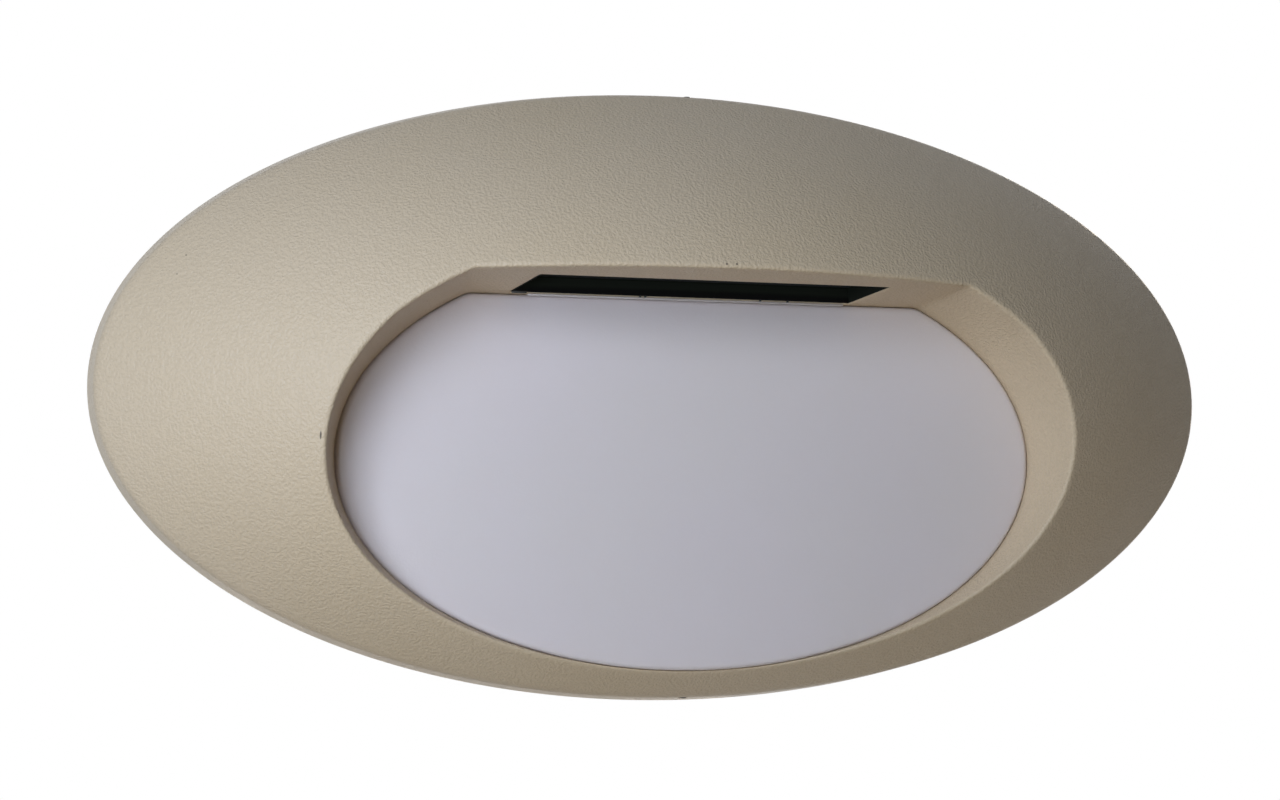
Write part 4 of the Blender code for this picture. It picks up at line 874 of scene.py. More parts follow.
def set_in(piece: Piece, tool: Piece, how: Join) -> None:
    """Add a shape to a piece or cut it away, and drop the tool.

    Args:
        piece: The piece that changes.
        tool: The shape set into it.
        how: Whether it is added or cut.
    """
    step = piece.modifiers.new(tool.name, "BOOLEAN")
    step.operation = how.value
    step.object = tool
    step.solver = "EXACT"
    bake(piece)
    bpy.data.objects.remove(tool)


def bevelled(piece: Piece, width: float, segments: int = 2) -> Piece:
    """Round a piece's hard edges.

    Args:
        piece: The piece.
        width: Width of the rounding.
        segments: Number of strips across it.

    Returns:
        The same piece.
    """
    step = piece.modifiers.new("rounded_edges", "BEVEL")
    step.width = width
    step.segments = segments
    step.limit_method = "ANGLE"
    step.angle_limit = math.radians(BEVEL_DEGREES)
    return bake(piece)


def rod(shape: Shape, start: Vector, end: Vector, radius: float, sides: int = 28,
        end_radius: float | None = None) -> None:
    """Add a rod or a cone between two points.

    Args:
        shape: The shape it is added to.
        start: Middle of its first end.
        end: Middle of its other end.
        radius: Radius at the start.
        sides: Number of sides.
        end_radius: Radius at the end, where it differs.
    """
    along = end - start
    turn = along.to_track_quat("Z", "Y").to_matrix().to_4x4()
    bmesh.ops.create_cone(shape, cap_ends=True, segments=sides, radius1=radius,
                          radius2=radius if end_radius is None else end_radius, depth=along.length,
                          matrix=Matrix.Translation((start + end) / 2) @ turn)


def block(shape: Shape, low: Corner, high: Corner) -> list[Vertex]:
    """Add a box.

    Args:
        shape: The shape it is added to.
        low: One corner as x, z and depth.
        high: The opposite corner.

    Returns:
        The new vertices.
    """
    size = [abs(b - a) for a, b in zip(low, high)]
    middle = [(a + b) / 2 for a, b in zip(low, high)]
    scale = Matrix.Diagonal((size[0], size[2], size[1], 1))
    return bmesh.ops.create_cube(shape, size=1.0, matrix=Matrix.Translation(spot(*middle)) @ scale)["verts"]


def brick(shape: Shape, low: Corner, high: Corner, radius: float, segments: int = 2) -> None:
    """Add a box with rounded edges.

    Args:
        shape: The shape it is added to.
        low: One corner as x, z and depth.
        high: The opposite corner.
        radius: Radius of the edges.
        segments: Number of strips across an edge.
    """
    verts = block(shape, low, high)
    edges = list(dict.fromkeys(edge for vertex in verts for edge in vertex.link_edges))
    bmesh.ops.bevel(shape, geom=edges, offset=radius, segments=segments, profile=0.5, affect="EDGES",
                    material=-1)


def bricks(name: str, radius: float, corners: Iterable[tuple[Corner, Corner]], segments: int = 2) -> Piece:
    """One object of separate rounded boxes.

    Args:
        name: The piece's name.
        radius: Radius of the edges.
        corners: Two opposite corners of each box.
        segments: Number of strips across an edge.

    Returns:
        The new object.
    """
    shape = bmesh.new()
    for low, high in corners:
        brick(shape, low, high, radius, segments)
    return to_object(name, shape)


def square(x: float, z: float, depth: float, facing: int = 1) -> Matrix:
    """Place whose own Z stands square off the wall, outward or with facing -1 towards it."""
    return Matrix.Translation(spot(x, z, depth)) @ Matrix.Rotation(facing * math.pi / 2, 4, "X")


def turned(shape: Shape, place: Matrix, profile: Sequence[tuple], sides: int = 36, closed: bool = False) -> Shape:
    """Add a body turned round its own Z.

    Args:
        shape: The shape it is added to.
        place: Where it stands.
        profile: Sections as radius, height and, for a polygon, its number of corners.
        sides: Number of sides, a multiple of the polygon's corners twice over.
        closed: Whether the profile closes on itself, as a ring's does.

    Returns:
        The same shape.
    """
    rings = []
    for radius, height, *corners in profile:
        ring = []
        for step in range(sides):
            turn = math.tau * step / sides
            half = math.pi / corners[0] if corners else math.pi
            reach = radius / math.cos((turn + half) % (2 * half) - half) if corners else radius
            ring.append(place @ Vector((reach * math.cos(turn), reach * math.sin(turn), height)))
        rings.append(ring)
    skin = Skin(rings[0], shape).grow(*rings[1:])
    return (skin.close() if closed else skin.cap()).shape


def lathed(name: str, place: Matrix, profile: Sequence[tuple], sides: int = 36, closed: bool = False) -> Piece:
    """One object turned round its own Z, as turned says."""
    return to_object(name, turned(bmesh.new(), place, profile, sides, closed))


def rods(name: str, lines: Iterable[tuple[Vector, Vector, float]]) -> Piece:
    """One object of separate rods.

    Args:
        name: The piece's name.
        lines: Start, end and radius of each rod.

    Returns:
        The new object.
    """
    shape = bmesh.new()
    for start, end, radius in lines:
        rod(shape, start, end, radius)
    return to_object(name, shape)


def bore(x: float, z: float, back: float, front: float, radius: float) -> tuple[Vector, Vector, float]:
    """Rod for a hole square to the wall that runs out past both depths."""
    return spot(x, z, back - OVERRUN), spot(x, z, front + OVERRUN), radius


def present(piece: Piece, body: Body, slot: str, *nodes: str, finish: Finish | None = None) -> None:
    """Dress a finished piece and hang it on its body.

    Args:
        piece: The piece.
        body: The body that it rides on.
        slot: The record's material slot.
        nodes: The frame's nodes that it stands for.
        finish: Its finish, where it isn't the slot's own.
    """
    piece.data.materials.clear()
    piece.data.materials.append((finish or SLOT_FINISHES[slot]).material())
    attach(piece, body.value)
    if nodes:
        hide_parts(*nodes)
    triangles = sum(len(face.vertices) - 2 for face in piece.data.polygons)
    LOG.info("%s rides on %s with %d triangles", piece.name, body.value, triangles)


# Cover


@dataclass
class ShellCasting:
    """Domed oval shell with the hooded recess and the vent slot."""

    form: LampForm = field(default_factory=lambda: FORM)
    dome_steps: int = 30
    wall_steps: int = 9
    edge_steps: int = 6
    hidden_steps: int = 8
    slot_lip: float = 0.0005
    slot_corner: float = 0.0005
    slot_corner_steps: int = 5
    lip_steps: int = 5
    slot_end_margin: float = 0.0120
    slot_ledge: float = 0.0009
    slot_flare: float = 0.0039
    slot_lean: float = 0.0034
    slot_right_margin: float = 0.0024
    boss_radius: float = 0.0030
    baffle_wall: float = 0.0012
    screw_hole: float = 0.0015
    hole_depth: float = 0.0090
    grub_radius: float = 0.0013
    grub_pad_half: float = 0.0040

    def __post_init__(self) -> None:
        """Take the slot's and the fixings' places from the frame."""
        baffle = extent("vent_baffle")
        self.slot_half = self.form.arc_station(self.form.arc_angle(0)).x - self.slot_end_margin
        self.slot_near = self.form.diffuser_depth + self.slot_ledge
        self.slot_far = baffle.front - (self.slot_near - baffle.back) + self.slot_flare
        self.seat = extent("diffuser_gasket").front + GAP

    def dress(self) -> None:
        """Loft the shell, set its bosses in, and cut its slot and holes."""
        shell = self.loft()
        set_in(shell, self.bosses(), Join.ADD)
        set_in(shell, self.holes(), Join.CUT)
        set_in(shell, self.slot_tool(), Join.CUT)
        present(shell, Body.COVER, "shell_paint", "front_shell")

    def edge_rings(self) -> tuple[Ring, Ring, Ring]:
        """Round the recess's front edge.

        Returns:
            Rings where the rounding starts, on the sharp corner and where it ends.
        """
        form, starts, corners, ends = self.form, [], [], []
        for station in form.stations:
            height = form.wall_height(station, 0, form.outer_skin)
            below = form.recess_point(station, 0, height - form.edge_radius)
            beyond = form.recess_point(station, form.edge_radius, height)
            starts.append(spot(*below, form.diffuser_depth + height - form.edge_radius))
            corners.append(spot(*form.recess_point(station, 0, height), form.diffuser_depth + height))
            ends.append(spot(*beyond, form.outer_skin(*beyond)))
        return starts, corners, ends

    def skin_rings(self, first: Ring, last: Ring, skin: Callable[[float, float], float], steps: int) -> list[Ring]:
        """Lay rings on a skin of the dome between two others.

        Args:
            first: The ring they start from, left out.
            last: The ring they run to, left out.
            skin: Depth of the skin at a plan position.
            steps: Number of strips.

        Returns:
            The rings in order.
        """
        plans = [[a.lerp(b, step / steps) for a, b in zip(first, last)] for step in range(1, steps)]
        return [[spot(point.x, point.z, skin(point.x, point.z)) for point in plan] for plan in plans]

    def loft(self) -> Piece:
        """Grow the shell from the diffuser's seat round to the seat's other side.

        Returns:
            The closed shell.
        """
        form = self.form
        starts, corners, ends = self.edge_rings()
        knee = [spot(*form.recess_point(station), min(form.diffuser_depth, -above.y - GAP))
                for station, above in zip(form.stations, starts)]
        rings = [form.d_ring(0, self.seat), knee]
        rings += [[a.lerp(b, step / self.wall_steps) for a, b in zip(knee, starts)]
                  for step in range(1, self.wall_steps)]
        rings += rounded(starts, corners, ends, self.edge_steps)

        rim_plan = [form.rim_point(station, form.band_taper + form.rim_radius) for station in form.stations]
        rim_start = [spot(*point, form.outer_skin(*point)) for point in rim_plan]
        rim_end = form.band_depth - form.rim_radius
        foot_inset = form.band_inset(form.standoff)
        rings += self.skin_rings(ends, rim_start, form.outer_skin, self.dome_steps)
        rings += rounded(rim_start, form.oval(form.band_taper, form.band_depth),
                         form.oval(form.band_inset(rim_end), rim_end), self.edge_steps)
        rings += [form.oval(foot_inset, form.standoff), form.oval(form.wall + foot_inset, form.standoff)]

        corner_plan = [form.rim_point(station, form.band_taper + form.wall) for station in form.stations]
        corner = [spot(*point, form.inner_skin(*point)) for point in corner_plan]
        junction = []
        for station in form.stations:
            height = form.wall_height(station, form.recess_wall, form.inner_skin)
            point = form.recess_point(station, form.recess_wall, height)
            junction.append(spot(*point, form.inner_skin(*point)))
        rings += [corner, *self.skin_rings(corner, junction, form.inner_skin, self.hidden_steps), junction]
        rings.append([spot(*form.recess_point(station, form.recess_wall),
                           min(form.diffuser_depth, (self.seat - point.y) / 2))
                      for station, point in zip(form.stations, junction)])
        rings.append(form.d_ring(form.recess_wall, self.seat))
        return lofted("shell_casting", rings, closed=True)

    def fixings(self) -> list[tuple[float, float, float]]:
        """Find where the screw bosses stand.

        Returns:
            Plan place and foot depth of each boss.
        """
        flange, baffle = extent("diffuser").back, extent("vent_baffle").back + self.baffle_wall + GAP
        return ([(*extent(node).plan, flange) for node in numbered("retainer_screw", 6)]
                + [(*extent(node).plan, baffle) for node in numbered("baffle_screw", 2)])

    def bosses(self) -> Piece:
        """Make the screw bosses inside the dome, and the two pads of the grub screws.

        Returns:
            One object of them all.
        """
        shape = bmesh.new()
        half = self.boss_radius
        for x, z, foot in self.fixings():
            head = min(self.form.inner_skin(x + dx, z + dz) for dx in (-half, half) for dz in (-half, half))
            rod(shape, spot(x, z, foot), spot(x, z, max(head + self.form.wall / 2, foot + self.form.wall)), half)
        outer = self.form.half_height - self.form.wall / 2 - self.form.band_taper
        for node, side in GRUBS:
            grub = extent(node)
            inner = min(abs(grub.bottom), abs(grub.top))
            block(shape, (-self.grub_pad_half, side * inner, extent("cover_seal").front + GAP),
                  (self.grub_pad_half, side * outer, self.form.band_depth))
        return to_object("shell_bosses", shape)

    def holes(self) -> Piece:
        """Make the tool for the screws' and the grub screws' holes.

        Returns:
            The tool.
        """
        lines = [(spot(x, z, foot - OVERRUN), spot(x, z, foot + self.hole_depth), self.screw_hole)
                 for x, z, foot in self.fixings()]
        for node, side in GRUBS:
            grub = extent(node)
            inner = min(abs(grub.bottom), abs(grub.top))
            lines.append((spot(0, side * (self.form.half_height + OVERRUN), grub.depth),
                          spot(0, side * (inner - OVERRUN), grub.depth), self.grub_radius))
        return rods("shell_holes", lines)

    def slot_ring(self, grow: float, rise: float) -> Ring:
        """Outline of the vent slot.

        Args:
            grow: How far it is grown outward.
            rise: Its height over the hood's flat wall.

        Returns:
            The ring.
        """
        radius = self.slot_corner + grow
        share = max(0.0, rise) / (self.form.recess_wall + OVERRUN)
        far = self.slot_far - self.slot_flare * min(1.0, share)
        ring = []
        for side, forward, start in ((1, 1, 0.0), (-1, 1, 90.0), (-1, -1, 180.0), (1, -1, 270.0)):
            x = side * (self.slot_half - self.slot_corner) - (self.slot_right_margin if side > 0 else 0)
            depth = (far - self.slot_corner) if forward > 0 else (self.slot_near + self.slot_corner)
            for step in range(self.slot_corner_steps + 1):
                turn = math.radians(start + 90.0 * step / self.slot_corner_steps)
                place = depth + radius * math.sin(turn)
                lean = self.slot_lean * (self.slot_far - place) / (self.slot_far - self.slot_near)
                ring.append(spot(x - lean + radius * math.cos(turn), self.form.hood_z(place, rise), place))
        return ring

    def slot_tool(self) -> Piece:
        """Make the tool for the slot, flared so that the paint rolls over a rounded lip.

        Returns:
            The tool.
        """
        lip = self.slot_lip
        turns = [math.pi / 2 * step / self.lip_steps for step in range(1, self.lip_steps + 1)]
        rings = [self.slot_ring(lip * (1 - math.sin(turn)), lip * (1 - math.cos(turn))) for turn in turns]
        return lofted("slot_tool", [self.slot_ring(lip * 1.3, -lip / 8), *rings,
                                    self.slot_ring(0, self.form.recess_wall + OVERRUN)])


@dataclass
class OpalPan:
    """Moulded diffuser: a domed front, a rounded edge, a skirt and a flange."""

    form: LampForm = field(default_factory=lambda: FORM)
    gap: float = 0.00012
    wall: float = 0.0020
    edge: float = 0.0016
    bulge: float = 0.0018
    flange_reach: float = 0.0026
    crown_steps: int = 18
    edge_steps: int = 6
    lip_left: float = -0.0435
    lip_right: float = 0.0372
    lip_height: float = 0.0004

    def lip(self) -> Piece:
        """Make the thin lip of the diffuser that laps over the slot's deep edge.

        Returns:
            The lip.
        """
        front = self.form.diffuser_depth
        past = front + ShellCasting.slot_ledge
        top = self.form.hood_z(past, -self.gap)
        return bricks("diffuser_lip", self.gap / 2, [((self.lip_left, top - self.lip_height, front - self.edge),
                                                      (self.lip_right, top, past + self.lip_height))])

    def crown(self, outward: float, share: float, depth: float) -> Ring:
        """Ring on the domed front.

        Args:
            outward: How far the front's edge is grown outward.
            share: Share of the way from its middle to its edge.
            depth: Depth of the edge.

        Returns:
            The ring.
        """
        middle = (self.form.flat_rise - self.form.drop - self.form.recess_half_height) / 2
        rise = depth + self.bulge * (1 - share ** 2)
        return [spot(point.x * share, middle + (point.z - middle) * share, rise)
                for point in self.form.d_ring(outward, depth)]

    def dress(self) -> None:
        """Grow the pan from the middle of its inside round to the middle of its front."""
        d_ring, front, back = self.form.d_ring, self.form.diffuser_depth, extent("diffuser").back
        flange = extent("diffuser_gasket").back - GAP
        hidden, rim = -self.gap - self.wall, -self.gap - self.edge
        shares = [step / self.crown_steps for step in range(1, self.crown_steps)]
        skin = Skin(self.crown(hidden, shares[0], front - self.wall))
        skin.grow(*[self.crown(hidden, share, front - self.wall) for share in (*shares[1:], 1)],
                  d_ring(hidden, back), d_ring(self.flange_reach, back), d_ring(self.flange_reach, flange),
                  d_ring(-self.gap, flange))
        skin.grow(*rounded(d_ring(-self.gap, front - self.edge), d_ring(-self.gap, front),
                           self.crown(rim, 1, front), self.edge_steps))
        skin.grow(*[self.crown(rim, share, front) for share in reversed(shares)]).cap(fan=True)
        present(to_object("opal_diffuser", skin.shape), Body.COVER, "opal", "diffuser")
        present(self.lip(), Body.COVER, "opal")


@dataclass
class VentTrough:
    """Black moulding behind the slot: a trough with air slits, and a collar that lines the slot."""

    shell: ShellCasting = field(default_factory=ShellCasting)
    wall: float = 0.0012
    tab_reach: float = 0.0110
    tab_height: float = 0.0070
    screw_reach: float = 0.0060
    slit_bar: float = 0.0105
    slit_height: float = 0.0030
    slit_count: int = 3
    collar_start: float = 0.00022
    collar_wall: float = 0.0006
    collar_gap: float = 0.0001
    flange: float = 0.0014
    rib_count: int = 8
    rib_half: float = 0.0004
    clips_across: tuple[Plan, ...] = ((-0.0457, 0.0018), (-0.0156, 0.0002), (-0.0143, 0.0002),
                                      (0.0153, 0.0002), (0.0225, 0.0002))
    edge: float = 0.0003

    def __post_init__(self) -> None:
        """Take the trough's box from the frame."""
        self.box = extent("vent_baffle")
        self.half = self.box.right - self.tab_reach
        self.behind = self.shell.form.recess_wall + GAP
        self.foot = self.shell.form.hood_z(self.box.back, self.behind)

    def trough(self) -> Piece:
        """Make the hollow trough, whose open side follows the hood's slanted wall.

        Returns:
            The trough.
        """
        shape, box = bmesh.new(), self.box
        bmesh.ops.create_cube(shape, size=1.0)
        for vertex in shape.verts:
            depth = box.front if vertex.co.y < 0 else box.back
            foot = self.shell.form.hood_z(depth, self.behind)
            vertex.co = spot(math.copysign(self.half, vertex.co.x), box.top if vertex.co.z > 0 else foot, depth)
        mouth = min(shape.faces, key=lambda face: face.calc_center_median().z)
        bmesh.ops.inset_region(shape, faces=[mouth], thickness=self.wall)
        made = bmesh.ops.extrude_face_region(shape, geom=[mouth])["geom"]
        shape.faces.remove(mouth)
        for item in made:
            if isinstance(item, Vertex):
                item.co.z = box.top - self.wall
        return to_object("vent_trough", shape)

    def tabs(self) -> Piece:
        """Make a fixing tab at each end, and thin ribs across the trough's ceiling.

        Returns:
            One object of them all.
        """
        shape, box = bmesh.new(), self.box
        for side in (-1, 1):
            block(shape, (side * (self.half - self.wall / 2), self.foot + GAP, box.back),
                  (side * (self.half + self.tab_reach), self.foot + self.tab_height, box.back + self.wall))
        pitch = 2 * self.half / self.rib_count
        for number in range(1, self.rib_count):
            x = pitch * number - self.half
            block(shape, (x - self.rib_half, box.top - 2 * self.wall, box.back + self.wall / 2),
                  (x + self.rib_half, box.top - self.wall / 2, box.front - self.wall / 2))
        return to_object("vent_tabs", shape)

    def openings(self) -> Piece:
        """Make the tool for the air slits and the two screw holes.

        Returns:
            The tool.
        """
        shape, back = bmesh.new(), self.box.back
        top = self.box.top - self.wall - GAP
        pitch = 2 * (self.half - self.wall) / self.slit_count
        reach = (pitch - self.slit_bar) / 2
        for number in range(self.slit_count):
            x = pitch * (number - (self.slit_count - 1) / 2)
            block(shape, (x - reach, top - self.slit_height, back - OVERRUN),
                  (x + reach, top, back + self.wall + OVERRUN))
        for x in (-self.half - self.screw_reach, self.half + self.screw_reach):
            rod(shape, *bore(x, self.foot + self.tab_height / 2, back, back + self.wall, self.shell.screw_hole))
        return to_object("vent_openings", shape)

    def collar(self) -> Piece:
        """Make the sleeve through the slot, joined to the trough by a flange.

        Returns:
            The sleeve.
        """
        inner, gap, start = -self.collar_gap - self.collar_wall, -self.collar_gap, self.collar_start
        lap, end = self.behind + self.collar_gap, self.behind + self.flange / 2
        outline = [(inner, end), (inner, start + self.edge), (inner + self.edge / 2, start),
                   (gap - self.edge / 2, start), (gap, start + self.edge), (gap, lap), (self.flange, lap),
                   (self.flange, end)]
        return lofted("vent_collar", [self.shell.slot_ring(*point) for point in outline], closed=True)

    def clips(self) -> Piece:
        """Make the small clips of the collar that lie on the slot's deep edge.

        Returns:
            One object of them all.
        """
        depth, shape = self.shell.slot_near, bmesh.new()
        low = self.shell.form.hood_z(depth)
        for x, half in self.clips_across:
            block(shape, (x - half, low - self.edge / 4, depth - self.edge),
                  (x + half, low + 3 * self.collar_start, depth + 2 * self.edge))
        return to_object("vent_clips", shape)

    def dress(self) -> None:
        """Put the trough, its collar and its clips in the baffle's place."""
        trough = self.trough()
        set_in(trough, self.tabs(), Join.ADD)
        set_in(trough, self.openings(), Join.CUT)
        present(bevelled(trough, self.edge), Body.COVER, "black_plastic", "vent_baffle")
        # The collar's finish paints shade along the lower third of the slot.
        present(self.collar(), Body.COVER, "black_plastic", finish=SLOT_LINING_WITH_SHADE)
        present(bevelled(self.clips(), self.edge / 3), Body.COVER, "black_plastic")


@dataclass
class Fasteners:
    """Socket screws that stand square to the wall, and the two grub screws of the cover."""

    head_radius: float = 0.0022
    head_height: float = 0.0014
    shank_radius: float = 0.0012
    socket: float = 0.0009
    socket_depth: float = 0.0008
    chamfer: float = 0.00025
    pitch: float = 0.0005
    thread: float = 0.00014
    grub_radius: float = 0.0010
    grub_socket: float = 0.00048
    sets: tuple[tuple[str, int, int, Body], ...] = (
        ("retainer_screw", 6, -1, Body.COVER), ("baffle_screw", 2, -1, Body.COVER),
        ("tray_screw", 4, 1, Body.BASE), ("driver_screw", 2, 1, Body.BASE))

    def threads(self, top: float, length: float, radius: float) -> list[tuple]:
        """Thread that runs down from a height.

        Args:
            top: The height.
            length: Length of the thread.
            radius: Radius of its crests.

        Returns:
            Its sections.
        """
        crests = [top - self.pitch * turn for turn in range(int(length / self.pitch))]
        return [section for crest in crests for section in (
            (radius - self.thread, crest - self.pitch / 4), (radius, crest - self.pitch * 3 / 4))]

    def screw(self, length: float) -> list[tuple]:
        """Profile of a screw whose head's top is at the origin.

        Args:
            length: Its whole length.

        Returns:
            The profile's sections.
        """
        head, chamfer, seat = self.head_radius, self.chamfer, -self.head_height
        edge = head - chamfer
        return [(self.socket, -self.socket_depth, 6), (self.socket, -chamfer / 2, 6), (self.socket + chamfer, 0),
                (edge, 0), (head - chamfer / 3, -chamfer / 3), (head, -chamfer), (head, seat + chamfer / 2),
                (edge, seat), (self.shank_radius, seat),
                *self.threads(seat - chamfer, length + seat - 2 * chamfer - self.pitch, self.shank_radius),
                (self.shank_radius - 2 * self.thread, -length)]

    def grub(self, length: float) -> list[tuple]:
        """Profile of a grub screw whose socket is at the origin.

        Args:
            length: Its whole length.

        Returns:
            The profile's sections.
        """
        return [(self.grub_socket, -length / 2, 6), (self.grub_socket, -self.chamfer / 3, 6),
                (self.grub_socket + self.chamfer, 0), (self.grub_radius - self.thread, 0),
                *self.threads(-self.chamfer / 2, length - self.pitch, self.grub_radius),
                (self.grub_radius - 2 * self.thread, -length)]

    def dress(self) -> None:
        """Put a screw in the place of each of the frame's."""
        for stem, count, facing, body in self.sets:
            for node in numbered(stem, count):
                box = extent(node)
                place = square(*box.plan, box.front if facing > 0 else box.back, facing)
                present(lathed(f"{node}_threaded", place, self.screw(box.thickness)), body, "zinc", node)
        for node, side in GRUBS:
            box = extent(node)
            turn = Matrix.Rotation(0 if side > 0 else math.pi, 4, "X")
            place = Matrix.Translation(spot(0, box.top if side > 0 else box.bottom, box.depth)) @ turn
            present(lathed(f"{node}_threaded", place, self.grub(box.top - box.bottom)), Body.COVER, "zinc", node,
                    finish=BLACK_OXIDE)


@dataclass
class ClampingFrame:
    """Silicone gasket, and the stamped frame whose lugs clamp the diffuser against the shell."""

    form: LampForm = field(default_factory=lambda: FORM)
    reach: float = 0.0026
    gasket_width: float = 0.0022
    inset: float = 0.0060
    bead: float = 0.0012
    bead_depth: float = 0.0005
    lug_radius: float = 0.0045
    hole: float = 0.0015
    edge: float = 0.00025

    def dress(self) -> None:
        """Build the gasket and the frame."""
        gasket, inner = extent("diffuser_gasket"), self.reach - self.gasket_width
        outline = [(self.reach, gasket.back), (self.reach, gasket.front), (inner, gasket.front),
                   (inner, gasket.back)]
        present(bevelled(self.frame("silicone_gasket", outline), self.edge, 3), Body.COVER, "silicone",
                "diffuser_gasket")

        box, bead = extent("diffuser_retainer"), self.bead
        back, groove = box.back, box.back + self.bead_depth
        outline = [(self.reach, back), (self.reach, box.front), (-self.inset, box.front), (-self.inset, back),
                   (-self.inset + bead, back), (-self.inset + bead * 1.5, groove), (-bead * 1.5, groove),
                   (-bead, back)]
        clamp = bevelled(self.frame("clamping_frame", outline), self.edge)
        set_in(clamp, self.lugs(box), Join.ADD)
        holes = [bore(*extent(node).plan, back, box.front, self.hole) for node in numbered("retainer_screw", 6)]
        set_in(clamp, rods("clamp_holes", holes), Join.CUT)
        present(clamp, Body.COVER, "zinc", "diffuser_retainer", finish=STAMPED)

    def frame(self, name: str, outline: list[Plan]) -> Piece:
        """D-shaped frame whose section is an outline of outward reach and depth."""
        return lofted(name, [self.form.d_ring(*point) for point in outline], closed=True)

    def lugs(self, box: Extent) -> Piece:
        """Make the round lugs under the screws.

        Args:
            box: What the frame spans.

        Returns:
            One object of them all.
        """
        shape, radius, edge, top = bmesh.new(), self.lug_radius, self.edge, box.thickness
        profile = [(radius - edge, 0), (radius, edge), (radius, top - 1.5 * edge), (radius - edge, top - edge / 2)]
        for node in numbered("retainer_screw", 6):
            turned(shape, square(*extent(node).plan, box.back + edge / 4), profile, 48)
        return to_object("clamp_lugs", shape)


# Base


